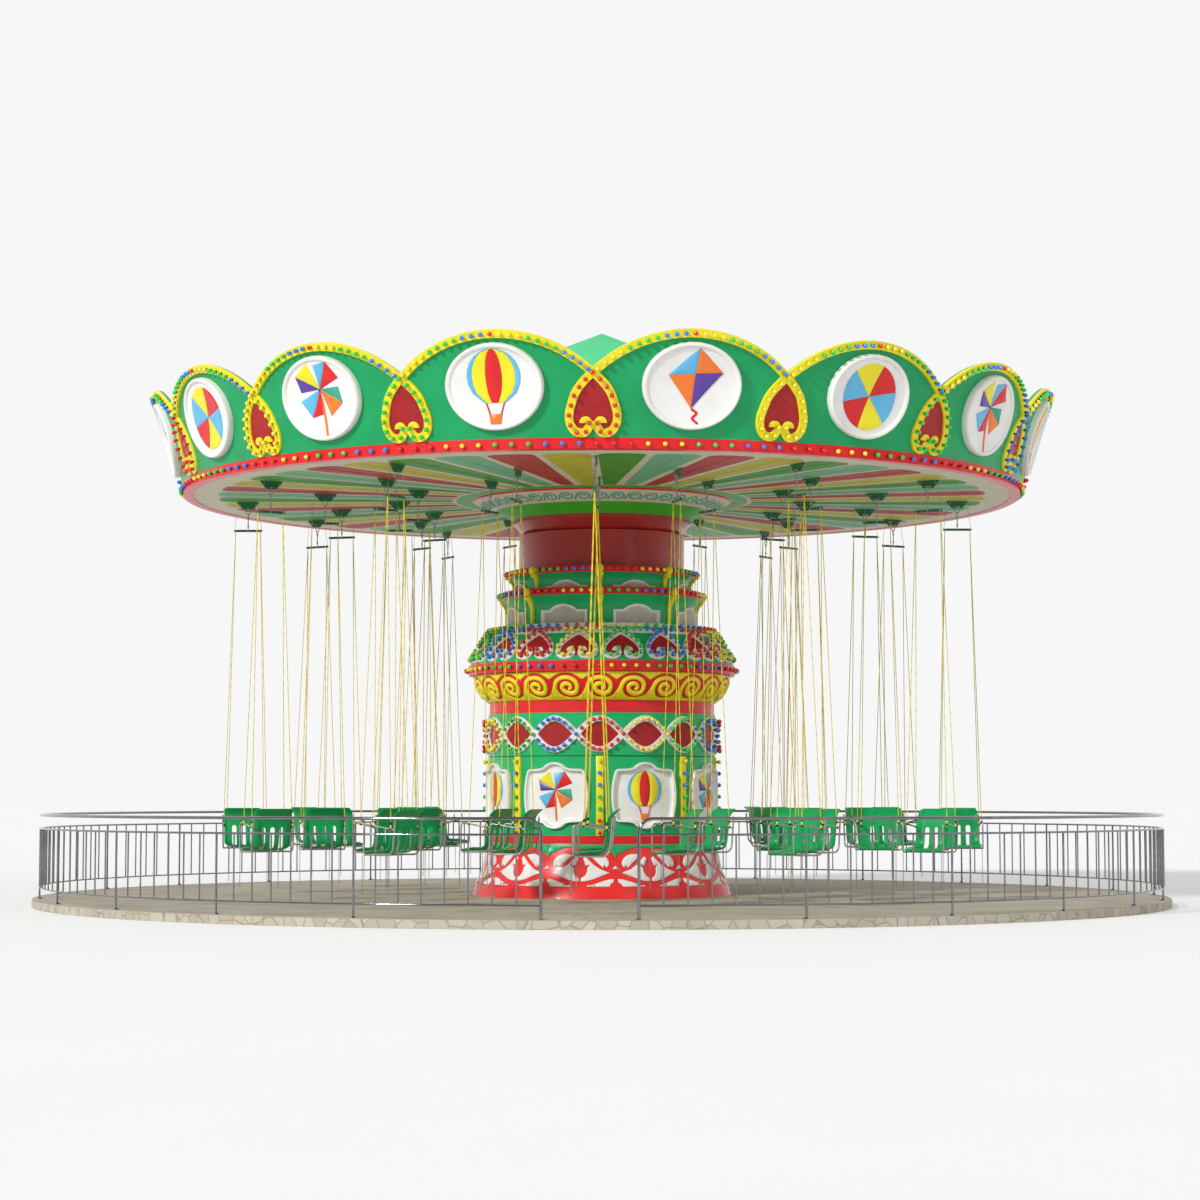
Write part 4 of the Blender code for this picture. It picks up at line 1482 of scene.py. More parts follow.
@dataclass
class Hearts(Assembly):
    """Ring of upside-down hearts: a raised band that ends in two curls, on a deep red field."""

    title: str
    skin: Skin
    count: int
    half_line: Line
    colours: str
    finish: Finish
    body: str = "base"
    slot: str = "column_paint"
    half: float = 0.03
    proud: float = 0.03
    lamps: int = 9
    first: float = 0.0
    knob: Triple = (0.088, 5.672, 0.074)

    def build(self, lamps: LampField) -> None:
        """Make the bands, the knobs of the curls, the fields and the lamps.

        Args:
            lamps: Lamps of the body.
        """
        line = smooth_line(self.half_line, 5)
        along, height, size = self.knob
        bands = []
        for side in (1, -1):
            path = [(side * u, v) for u, v in line]
            bands.append(ribbon(path, self.half, self.proud + 0.0006 * side, self.skin.at))
            dome = arc_points((side * along, height), size, 0, 180, 10)
            bands.append(relief([dome], self.proud + 0.0015, self.skin.at, 0.003))
        lowest = min(range(len(line)), key=lambda k: line[k][1])
        outer = line[1:lowest + 1]
        sill = (0.0, outer[-1][1] + 0.6 * self.half)
        heart = outer + [sill] + mirrored(outer) + [line[0]]
        fill = relief([heart], 0.006, self.skin.at, 0.0, 0.15)
        ring = (self.count, self.first)
        self.put(f"{self.title}_bands", joined(bands), self.finish, ring=ring, slot=self.slot)
        self.put(f"{self.title}_fields", fill, DEEP_RED, ring=ring)
        spots = spaced(line, self.lamps, 1.0)
        for k, colour in enumerate(self.colours):
            for u, v in [line[0]] + spots + mirrored(spots):
                lamps.add(LAMPS[colour], self.skin, self.first + 360 * k / self.count, u, v,
                          self.proud)


@dataclass
class Drums(Assembly):
    """The two green drums with pilasters, cartouches and crossing wavy bands."""

    low_radius: float = 1.53
    low_foot: float = 0.82
    low_top: float = 1.862
    high_radius: float = 1.55
    high_foot: float = 1.872
    high_top: float = 2.436
    pilasters: int = 8
    pilaster_half: float = 0.048
    pilaster_proud: float = 0.032
    pilaster_lamps: str = "YBBGGRR"
    lamp_top: float = 1.8
    lamp_pitch: float = 0.157
    frame_middle: float = 1.345
    frame_half: float = 0.045
    frame_proud: float = 0.06
    frame_inset: float = 0.925
    frame_side: Line = (
        (0.175, 0.348), (0.215, 0.335), (0.3, 0.33), (0.378, 0.328), (0.394, 0.318), (0.41, 0.26),
        (0.432, 0.15), (0.441, 0.05))
    picture_half: float = 0.345
    waves: int = 8
    wave_middle: float = 2.152
    wave_rise: float = 0.205
    wave_half: float = 0.04
    wave_proud: float = 0.022
    wave_lamps: int = 8

    def cartouche(self) -> Outline:
        """Outline of a frame: domed above and below, bulging at the sides."""
        quarter = arc_points((0.0, 0.245), 0.18, 90, 38, 6) + list(self.frame_side)
        half = quarter + [(u, -v) for u, v in reversed(quarter)]
        loop = half[:-1] + [(-u, v) for u, v in reversed(half)][:-1]
        return [(u * self.frame_inset, self.frame_middle + v * self.frame_inset) for u, v in loop]

    def lower(self, lamps: LampField) -> None:
        """Make the lower drum with its strips and frames."""
        radius, foot, top = self.low_radius, self.low_foot, self.low_top
        skin = wall(radius)
        shell = lathe([(radius, foot), (radius, top), (radius - 0.02, top + EASE)])
        self.put("lower_drum_shell", shell, DRUM_GREEN, "lower_drum")
        half = self.pilaster_half
        strip = relief([[(-half, foot), (half, foot), (half, top), (-half, top)]],
                       self.pilaster_proud, skin.at, 0.004)
        self.put("pilasters", strip, YELLOW, ring=(self.pilasters,))
        for k in range(self.pilasters):
            for j, lamp in enumerate(self.pilaster_lamps):
                lamps.add(LAMPS[lamp], skin, 360 * k / self.pilasters, 0.0,
                          self.lamp_top - self.lamp_pitch * j, self.pilaster_proud)
        outline = self.cartouche()
        rim = ribbon(outline, self.frame_half, self.frame_proud, skin.at, MOULDING, closed=True)
        between = 180 / self.pilasters
        self.put("cartouche_frames", rim, WHITE, ring=(self.pilasters, between))
        panel = relief([outline], 0.005, skin.at)
        self.put("cartouche_panels", panel, WHITE, ring=(self.pilasters, between))

        def at(u: float, v: float, w: float) -> Vector:
            """Place on a panel, from its middle."""
            return skin.at(u, self.frame_middle + v, 0.005 + w)

        made = toy_ring(at, self.picture_half, self.pilasters, 1, 4)
        self.put("cartouche_pictures", made, SKY)

    def upper(self, lamps: LampField) -> None:
        """Make the upper drum with its crossing waves and the red lenses between them."""
        radius, foot = self.high_radius, self.high_foot
        skin = wall(radius)
        shell = lathe([(radius - 0.01, foot - EASE), (radius, foot), (radius, self.high_top)])
        self.put("upper_drum_shell", shell, DRUM_GREEN, "upper_drum")
        steps = self.waves * 24
        bands = []
        for sign in (1, -1):
            path = [(skin.arc(360 * k / steps), self.wave_middle + sign * self.wave_rise
                     * cos(tau * self.waves * k / steps)) for k in range(steps + 1)]
            bands.append(ribbon(path, self.wave_half, self.wave_proud + 0.001 * sign, skin.at))
        self.put("wave_bands", painted(joined(bands), WHITE), WHITE)
        quarter = skin.arc(90 / self.waves)
        top = [(quarter * (k / 8 - 1), self.wave_rise * cos(pi / 2 * (k / 8 - 1)))
               for k in range(17)]
        lens = [(u, self.wave_middle + v) for u, v in top]
        lens += [(u, self.wave_middle - v) for u, v in reversed(top[1:-1])]
        self.put("wave_lenses", relief([lens], 0.006, skin.at), DEEP_RED, ring=(2 * self.waves,))
        per = self.wave_lamps
        spots = [(1.0, 1)] + [(2 * j / per - 1, sign) for j in range(1, per) for sign in (1, -1)]
        for k in range(2 * self.waves):
            for share, sign in spots:
                rise = self.wave_rise * cos(pi / 2 * share)
                lamps.add(LAMPS["RYGB"[k % 4]], skin, 180 * k / self.waves, quarter * share,
                          self.wave_middle + sign * rise, self.wave_proud)

    def build(self, lamps: LampField) -> None:
        """Make both drums."""
        self.lower(lamps)
        self.upper(lamps)


@dataclass
class Bowl(Assembly):
    """Flaring bowl: red, with raised yellow running spirals, and the red neck below it.

    A spiral's unit is drawn 370 wide and 340 high, about the spiral's middle.
    """

    slot = "yellow_paint"
    profile: Line = (
        (1.535, 2.609), (1.592, 2.65), (1.64, 2.7), (1.684, 2.765), (1.715, 2.83), (1.732, 2.9),
        (1.741, 2.971))
    neck: Line = ((1.535, 2.436), (1.535, 2.609))
    reference: float = 1.68
    count: int = 24
    half: float = 0.0262
    proud: float = 0.024
    middle: float = 2.758
    rise: float = 0.001065
    unit: int = 370
    turns: Line = (
        (-136, -10), (-120, 50), (-88, 93), (-45, 115), (2, 122), (50, 114), (94, 84), (119, 42),
        (121, 0), (107, -40), (78, -62), (38, -70), (0, -60), (-34, -38), (-50, -6), (-45, 24),
        (-22, 44), (10, 47), (38, 34), (50, 10), (42, -12), (22, -20))
    foot: Line = (
        (-185, -140), (185, -140), (185, -46), (162, -80), (130, -99), (90, -110), (40, -116),
        (0, -116), (-42, -106), (-79, -85), (-103, -54), (-113, -17), (-116, 5), (-157, 8),
        (-167, -16), (-185, -46))
    head: Line = (
        (-185, 196), (185, 196), (185, 98), (150, 127), (110, 154), (60, 175), (0, 182),
        (-60, 175), (-110, 154), (-150, 127), (-185, 98))

    def build(self) -> None:
        """Make the neck, the bowl, the spirals and the strips that close them in."""
        self.put("bowl_neck", lathe(self.neck), RED)
        self.put("bowl_body", lathe(self.profile), RED, "spiral_bowl", slot=self.slot)
        at = Skin(self.profile, self.reference).at
        line = smooth_line(self.placed(self.turns), 3)
        thin = [1.0 - 0.35 * max(0.0, k / (len(line) - 1) - 0.75) / 0.25 for k in range(len(line))]
        parts = [ribbon(line, self.half, self.proud, at, ROUNDED, widths=thin)]
        parts += [relief([self.placed(outline)], self.proud * 0.8, at, 0.008, 0.05, rows=0.035)
                  for outline in (self.foot, self.head)]
        self.put("bowl_spirals", joined(parts), YELLOW, ring=(self.count,))

    def placed(self, points: Sequence[Point2]) -> Outline:
        """Scale a unit's points to the bowl."""
        wide = tau / self.count * self.reference / self.unit
        return [(u * wide, self.middle + v * self.rise) for u, v in points]


@dataclass
class Tiers(Assembly):
    """The bands, the jewelled cone, the two stepped tiers and the sleeve above them."""

    cone: Line = ((1.794, 3.113), (1.518, 3.558))
    hearts: int = 18
    heart_turn: float = -10.0
    heart_lamps: str = "YGBRYGBRYGYGBRYGBR"
    heart_line: Line = (
        (0.0, 3.488), (0.076, 3.45), (0.148, 3.398), (0.208, 3.338), (0.24, 3.266), (0.229, 3.196),
        (0.168, 3.16), (0.092, 3.162), (0.048, 3.198), (0.052, 3.24))
    swag_height: float = 3.508
    swag_dip: float = 0.018
    wall_2: Line = (
        (1.276, 3.617), (1.276, 3.83), (1.29, 3.89), (1.322, 3.95), (1.368, 3.998), (1.376, 4.009))
    wall_1: Line = ((1.188, 4.107), (1.188, 4.21), (1.205, 4.255), (1.24, 4.29), (1.278, 4.31))
    sleeve: Line = (
        (1.131, 4.397), (1.131, 4.893), (1.095, 4.893), (1.095, 4.6), (0.7, 4.6), (0.7, 4.848))
    corbels: int = 8
    plaques: tuple[tuple[float, ...], ...] = (
        (1.276, 3.62, 3.858, 0.3), (1.188, 4.11, 4.185, 0.27))

    def corbel(self, skin: Skin, low: float, high: float, top: float, reach: float) -> Mesh:
        """Tapered bracket that follows a wall up to a round head over the lamp band.

        Args:
            skin: Wall that it stands on.
            low: Height of its foot.
            high: Height where the wall ends.
            top: Height of the middle of its head.
            reach: Radius of the middle of its head.

        Returns:
            Closed mesh.
        """
        waist = low + 0.6 * (high - low)
        side = [(0.02, low), (0.024, waist), (0.044, high)]
        blade = relief([side + mirrored(side)], 0.042, skin.at, 0.01, 5.0, rows=0.03)
        head = bmesh.new()
        place = Matrix.Translation(polar(reach, 0.0, top)) @ Matrix.Diagonal((1, 1, 1.2, 1))
        bmesh.ops.create_uvsphere(head, u_segments=16, v_segments=10, radius=0.05, matrix=place)
        return joined([blade, finished_mesh(head)])

    def build(self, lamps: LampField) -> None:
        """Make everything from the first lamp band up."""
        groups = [LAMPS[letter] for letter in "RRRRYYYYGGGGBBBB"]
        self.put("lamp_band", lathe(eased(1.821, 2.971, 3.109)), RED, "bulb_band")
        lamps.ring(1.821, 3.04, 72, groups, -15.0)
        body = lathe([(self.cone[0][0], 3.109), *self.cone])
        self.put("cone_body", body, DRUM_GREEN, "jewel_cone")
        skin = Skin(self.cone, 1.66)
        Hearts("cone_hearts", skin, self.hearts, self.heart_line, self.heart_lamps, WHITE,
               half=0.031, proud=0.024, lamps=8, first=self.heart_turn,
               knob=(0.08, 3.232, 0.052)).build(lamps)
        self.swag(skin, lamps)
        self.put("cone_rim", lathe(eased(1.518, 3.558, 3.617)), WHITE)
        lamps.ring(1.518, 3.588, 72, groups, -16.25)
        self.put("tier_2_wall", lathe(self.wall_2), DRUM_GREEN, "tier_2")
        self.put("tier_2_band", lathe(eased(1.38, 4.009, 4.107)), RED)
        self.between(lamps, 1.38, 4.058, "GGGGBBBBRRRRYYYY")
        self.put("tier_1_wall", lathe(self.wall_1), DRUM_GREEN, "tier_1")
        self.put("tier_1_band", lathe(eased(1.284, 4.31, 4.397)), RED)
        self.between(lamps, 1.284, 4.354, "RRRRYYYYGGGGBBBB")
        corbels = [self.corbel(Skin(self.wall_2, 1.3), 3.617, 4.005, 4.058, 1.392),
                   self.corbel(Skin(self.wall_1, 1.2), 4.107, 4.308, 4.354, 1.296)]
        self.put("tier_corbels", joined(corbels), YELLOW, ring=(self.corbels,))
        self.framed_plaques()
        self.put("sleeve_wall", lathe(self.sleeve), WALL_RED, "bearing_sleeve")

    def between(self, lamps: LampField, radius: float, height: float, letters: str) -> None:
        """Add eight lamps between every two corbels.

        Args:
            lamps: Lamps of the column.
            radius: Radius of the band.
            height: Height of the lamps.
            letters: Colours of two bays, which the others repeat.
        """
        for k in range(8 * self.corbels):
            azimuth = 45 * (k // 8) + 5 * (k % 8 + 1)
            lamps.add(LAMPS[letters[k % 16]], wall(radius), azimuth, 0.0, height, 0.0)

    def swag(self, skin: Skin, lamps: LampField) -> None:
        """Add the white band that dips to each heart's tip, with five lamps to a heart.

        Args:
            skin: Surface of the cone.
            lamps: Lamps of the column.
        """
        steps = 16
        path = [(skin.arc(360 * k / (self.hearts * steps) + self.heart_turn),
                 self.swag_height - self.swag_dip * (0.5 + 0.5 * cos(tau * k / steps)) ** 4)
                for k in range(self.hearts * steps + 1)]
        self.put("cone_swag", ribbon(path, 0.026, 0.0225, skin.at), WHITE)
        for k, colour in enumerate(self.heart_lamps):
            for j in (-2, -1, 1, 2, 3):
                azimuth = self.heart_turn + 360 / self.hearts * (k + j / 6)
                lamps.add(LAMPS[colour], skin, azimuth, 0.0, self.swag_height, 0.022)

    def framed_plaques(self) -> None:
        """Add the framed plaques between the corbels of both tiers."""
        frames, panels = [], []
        for radius, low, high, half in self.plaques:
            at = wall(radius).at
            step = high - 0.078
            curve = arc_points((0.0, high - 0.262), 0.262, 90, 52, 6)
            side = curve + [(0.19, step), (half, step), (half, min(low, step - 0.02))]
            outline = side + mirrored(side)[:-1]
            frames.append(ribbon(outline, 0.03, 0.04, at, MOULDING, closed=True))
            panels.append(relief([outline], 0.006, at))
        between = 180 / self.corbels
        self.put("tier_plaque_frames", joined(frames), WHITE, ring=(self.corbels, between))
        self.put("tier_plaques", joined(panels), GREY, ring=(self.corbels, between))


@dataclass
class NeckAndHub(Assembly):
    """Red funnel on the bearing and the painted cone that spreads to the ceiling."""

    body = "crown"
    slot = "teal_paint"
    hub: Line = (
        (1.0, 4.852), (1.055, 4.872), (1.1, 4.925), (1.16, 4.995), (1.215, 5.05), (1.215, 5.1))
    lime: Line = ((1.215, 5.101), (1.25, 5.13), (1.45, 5.23))
    cream: Line = ((1.45, 5.23), (1.752, 5.356))
    red: Line = ((1.752, 5.356), (1.768, 5.363), (1.768, 5.379))
    spiral: Line = (
        (-0.125, 0.07), (-0.095, 0.13), (-0.062, 0.205), (0.0, 0.245), (0.07, 0.215),
        (0.092, 0.15), (0.055, 0.092), (-0.005, 0.085), (-0.045, 0.125), (-0.035, 0.175),
        (0.01, 0.19), (0.04, 0.155))
    count: int = 44

    def build(self) -> None:
        """Make the hub, the cone's three bands and its running spirals."""
        self.put("hub_funnel", lathe(self.hub), WALL_RED, "crown_hub")
        parts = [painted(lathe(profile), finish)
                 for profile, finish in ((self.lime, LEAF_GREEN), (self.cream, CREAM),
                                         (self.red, RED))]
        self.put("neck_cone", joined(parts), CREAM, "neck_ring")
        skin = Skin(self.cream, 1.6)
        (inner, low), (outer, high) = self.cream
        slope = (high - low) / hypot(outer - inner, high - low)

        def at(u: float, s: float, w: float) -> Vector:
            """Place on the cone at a way s up its slope."""
            return skin.at(u, low + s * slope, w * 0.3)

        unit = ribbon(smooth_line(self.spiral, 3), 0.0125, 0.01, at)
        self.put("neck_spirals", unit, TEAL, ring=(self.count,))


@dataclass(frozen=True)
class HangerRing:
    """One ring of chairs: its name, radius and the azimuth of its first chair."""

    name: str
    radius: float
    first: float


HANGERS = (HangerRing("outer", 4.88, 0.0), HangerRing("middle", 3.83, 15.0),
           HangerRing("inner", 2.79, 0.0))
CHAIRS_PER_RING = 12
PIN_HEIGHT = 5.298


@dataclass
class Ceiling(Assembly):
    """Cream disc with painted wedges, a lime ring at the neck and the hanger brackets."""

    body = "crown"
    slot = "cream_paint"
    height: float = 5.38
    thick: float = 0.045
    radius: float = 5.56
    inner_rings: tuple[float, ...] = (1.2, 2.2, 3.4, 4.6)
    lime_ring: Line = ((1.8, 5.377), (2.0, 5.377), (2.0, 5.3805), (1.8, 5.3805))
    wedges: int = 48
    inner: float = 2.06
    outer: float = 5.22
    strip: float = 0.055
    ease: float = 0.14
    bracket_top: float = 0.315
    bracket_low: float = 0.14
    bracket_drop: float = 0.1
    bracket_near: float = 0.0087
    bracket_thick: float = 0.02
    bolts: tuple[Triple, ...] = ((0.0, PIN_HEIGHT, 0.012), (-0.1, 5.35, 0.009), (0.1, 5.35, 0.009))

    def under(self, u: float, v: float, w: float) -> Vector:
        """Place on the underside: v is the radius, w the distance below the ceiling."""
        return Vector((u, -v, DECK + self.height - w))

    def wedge(self) -> Mesh:
        """One painted wedge with its rounded outer end and middle rib, at azimuth 0."""
        slope = tan(pi / self.wedges)
        edge = self.outer * slope - self.strip
        corner = arc_points((edge - self.ease, self.outer - self.ease), self.ease, 0, 90, 5)
        half = [(self.inner * slope - self.strip, self.inner)] + corner
        half.append((edge * 0.25, self.outer + 0.012))
        plate = relief([half + mirrored(half)], 0.003, self.under, 0.0, 5.0, -0.001)
        rib = ribbon([(0.0, self.inner + 0.02), (0.0, self.outer - 0.03)], 0.006, 0.009,
                     self.under, ROUNDED)
        return joined([plate, rib])

    def bracket(self, radius: float) -> Mesh:
        """Trapezoid plate under the ceiling, at azimuth 0.

        Args:
            radius: Radius of its pin.

        Returns:
            Closed mesh.
        """
        low, top = self.height - self.bracket_drop, self.height
        outline = [(-self.bracket_low / 2, low), (self.bracket_low / 2, low),
                   (self.bracket_top / 2, top), (-self.bracket_top / 2, top)]
        shape = bmesh.new()
        shape.faces.new([shape.verts.new((self.bracket_near, -(radius + x), DECK + z))
                         for x, z in outline])
        far = bmesh.ops.extrude_face_region(shape, geom=shape.faces[:])["geom"]
        bmesh.ops.translate(shape, vec=(self.bracket_thick, 0, 0),
                            verts=[item for item in far if isinstance(item, BMVert)])
        bmesh.ops.bevel(shape, geom=shape.edges[:], offset=0.002, segments=1, affect="EDGES")
        return finished_mesh(shape, 30.0)

    def pin_and_bolts(self, radius: float) -> Mesh:
        """Pin with its nut and the two bolts of a bracket's flange, at azimuth 0.

        Args:
            radius: Radius of the pin.

        Returns:
            Closed mesh.
        """
        shape = bmesh.new()
        for x, z, size in self.bolts:
            spot = Matrix.Translation((self.bracket_near + 0.01, -(radius + x), DECK + z))
            bmesh.ops.create_cone(shape, cap_ends=True, segments=6, radius1=size, radius2=size,
                                  depth=0.036, matrix=spot @ Matrix.Rotation(pi / 2, 4, "Y"))
        return finished_mesh(shape, 30.0)

    def build(self) -> None:
        """Make the disc, the wedges and the brackets."""
        under = [(r, self.height) for r in (*self.inner_rings, self.radius)]
        disc = lathe(under + [(self.radius, self.height + self.thick)])
        self.put("ceiling_disc", disc, CREAM, "ceiling")
        self.put("ceiling_lime_ring", lathe(self.lime_ring, closed=True), LEAF_GREEN)
        turn, kinds = 360 / self.wedges, len(WEDGES)
        for k, finish in enumerate(WEDGES):
            mesh = ring_of(self.wedge(), finish, self.wedges // kinds, turn * (k + 0.5),
                           kinds * turn)
            self.put(f"ceiling_wedges_{finish.name.split()[-1]}", mesh, finish)
        for name, unit, finish in (("hanger_brackets", self.bracket, BRACKET_GREEN),
                                   ("hanger_bolts", self.pin_and_bolts, ZINC)):
            made = [ring_of(unit(ring.radius), finish, CHAIRS_PER_RING, ring.first)
                    for ring in HANGERS]
            self.put(name, joined(made), finish)


@dataclass
class Crown(Assembly):
    """Rim band, arched boards with their bands, hearts and medallions, and the roof."""

    body = "crown"
    slot = "board_paint"
    rim_inner: float = 5.5605
    rim_radius: float = 5.695
    rim_low: float = 5.373
    rim_high: float = 5.506
    rim_lamps: int = 180
    boards: int = 16
    steps: int = 24
    lean: float = 0.308
    thick: float = 0.05
    top: float = 6.74
    cusp: float = 6.3
    band_half: float = 0.05
    band_proud: float = 0.034
    band_lamps: str = "YYYYGGGGBBBRYYYGGGGBBBB"
    heart_line: Line = (
        (0.0, 6.245), (0.077, 6.171), (0.153, 6.087), (0.213, 5.992), (0.252, 5.881),
        (0.279, 5.776), (0.271, 5.665), (0.21, 5.578), (0.107, 5.562), (0.042, 5.64),
        (0.046, 5.676))
    heart_lamps: str = "RYGBRYGBRYGBBRYG"
    roof: Line = (
        (5.54, 5.4255), (3.7, 6.185), (1.85, 6.952), (0.0, 7.72), (0.0, 7.68), (5.46, 5.4255))
    medal_wide: float = 0.585
    medal_high: float = 0.492
    medal_height: float = 6.1
    medal_sides: int = 48
    medal_rim: Line = (
        (1.0, SUNK), (1.0, 0.055), (0.985, 0.077), (0.955, 0.088), (0.92, 0.084), (0.895, 0.072))
    medal_dish: tuple[float, ...] = (0.88, 0.8, 0.66, 0.46, 0.22)
    picture_half: float = 0.455

    def face(self, height: float) -> float:
        """Radius of the boards' leaning outer face at a height."""
        return self.rim_radius + self.lean * (height - self.rim_high)

    def skin(self, reference: float) -> Skin:
        """Leaning outer face of the boards."""
        return Skin(((self.rim_radius, self.rim_high), (self.face(6.9), 6.9)), reference)

    def reach(self) -> float:
        """Half of a board's width along its top."""
        return pi / self.boards * self.face(self.top)

    def arch_radius(self) -> float:
        """Radius of the arch."""
        rise = self.top - self.cusp
        return (self.reach() ** 2 + rise ** 2) / (2 * rise)

    def arch(self, inset: float, overrun: float, steps: int) -> Outline:
        """Points along an arch.

        Args:
            inset: Distance in from the board's top edge.
            overrun: Angle that it goes on beyond the board's ends.
            steps: Pieces of the arch.

        Returns:
            The points.
        """
        radius = self.arch_radius()
        inner = radius - inset
        limit = degrees(asin(self.reach() / inner) + overrun)
        return arc_points((0.0, self.top - radius), inner, 90 + limit, 90 - limit, steps)

    def board_ring(self) -> Mesh:
        """Ring of boards with the arched top edge."""
        radius = self.arch_radius()
        columns = []
        for k in range(self.boards * self.steps):
            azimuth = 360 * k / (self.boards * self.steps)
            along = self.reach() * abs(2 * (k % self.steps) / self.steps - 1)
            rise = self.top - radius + sqrt(radius ** 2 - along ** 2) - self.rim_high
            heights = [self.rim_high + (rise * t or 0.0003) for t in (0, 0.25, 0.5, 0.75, 1)]
            front = [polar(self.face(z), azimuth, z) for z in heights]
            back = [polar(self.face(z) - self.thick, azimuth, z) for z in reversed(heights)]
            columns.append(front + back)
        return skinned(columns, closed=True)

    @staticmethod
    def hollow(share: float) -> float:
        """Height of the dish over the board at a share of the way out to its rim."""
        return 0.009 + 0.064 * share ** 2

    def on_dish(self, u: float, v: float, w: float) -> Vector:
        """Place on a dish, from its middle."""
        share = hypot(u / self.medal_wide, v / self.medal_high)
        return self.skin(5.85).at(u, self.medal_height + v, self.hollow(share) + w)

    def medallion(self) -> Mesh:
        """Dished oval with a raised rounded rim, at azimuth 0."""
        skin = self.skin(5.85)
        turns = [tau * k / self.medal_sides for k in range(self.medal_sides)]
        section = self.medal_rim + tuple((share, self.hollow(share)) for share in self.medal_dish)
        rings = [[skin.at(self.medal_wide * share * cos(turn),
                          self.medal_height + self.medal_high * share * sin(turn), proud)
                  for turn in turns] for share, proud in section]
        return skinned(rings)

    def build(self, lamps: LampField) -> None:
        """Make the rim, the boards with all their ornaments, and the roof.

        Args:
            lamps: Lamps of the crown.
        """
        low, high, radius = self.rim_low, self.rim_high, self.rim_radius
        rim = [(self.rim_inner, low), (radius - EASE, low), (radius, low + EASE),
               (radius + 0.003, high - 0.003), (radius, high), (self.rim_inner, high)]
        self.put("rim_ring", lathe(rim, 288, True), RED, "rim_band")
        groups = [LAMPS[letter] for letter in "RRRYYYGGGBBB"]
        lamps.ring(radius, low + 0.44 * (high - low), self.rim_lamps, groups, 0.4)
        self.put("board_ring", self.board_ring(), BOARD_GREEN, "crown_boards")
        skin = self.skin(self.face(self.top))
        band = ribbon(self.arch(self.band_half, 0.006, 40), self.band_half, self.band_proud,
                      skin.at)
        half = 180 / self.boards
        self.put("arch_bands", band, YELLOW, ring=(self.boards, half))
        spots = spaced(self.arch(self.band_half, -0.01, 60), len(self.band_lamps))
        for board in range(self.boards):
            for colour, (u, v) in zip(self.band_lamps, spots):
                lamps.add(LAMPS[colour], skin, half * (2 * board + 1), u, v, self.band_proud)
        Hearts("crown_hearts", self.skin(5.8), self.boards, self.heart_line, self.heart_lamps,
               YELLOW, self.body, "yellow_paint", self.band_half).build(lamps)
        self.put("medallions", self.medallion(), WHITE, ring=(self.boards, half))
        pictures = toy_ring(self.on_dish, self.picture_half, self.boards, 5, 1)
        self.put("medallion_pictures", pictures, SKY)
        self.put("roof_cone", lathe(self.roof, closed=True), ROOF_MINT, "roof")


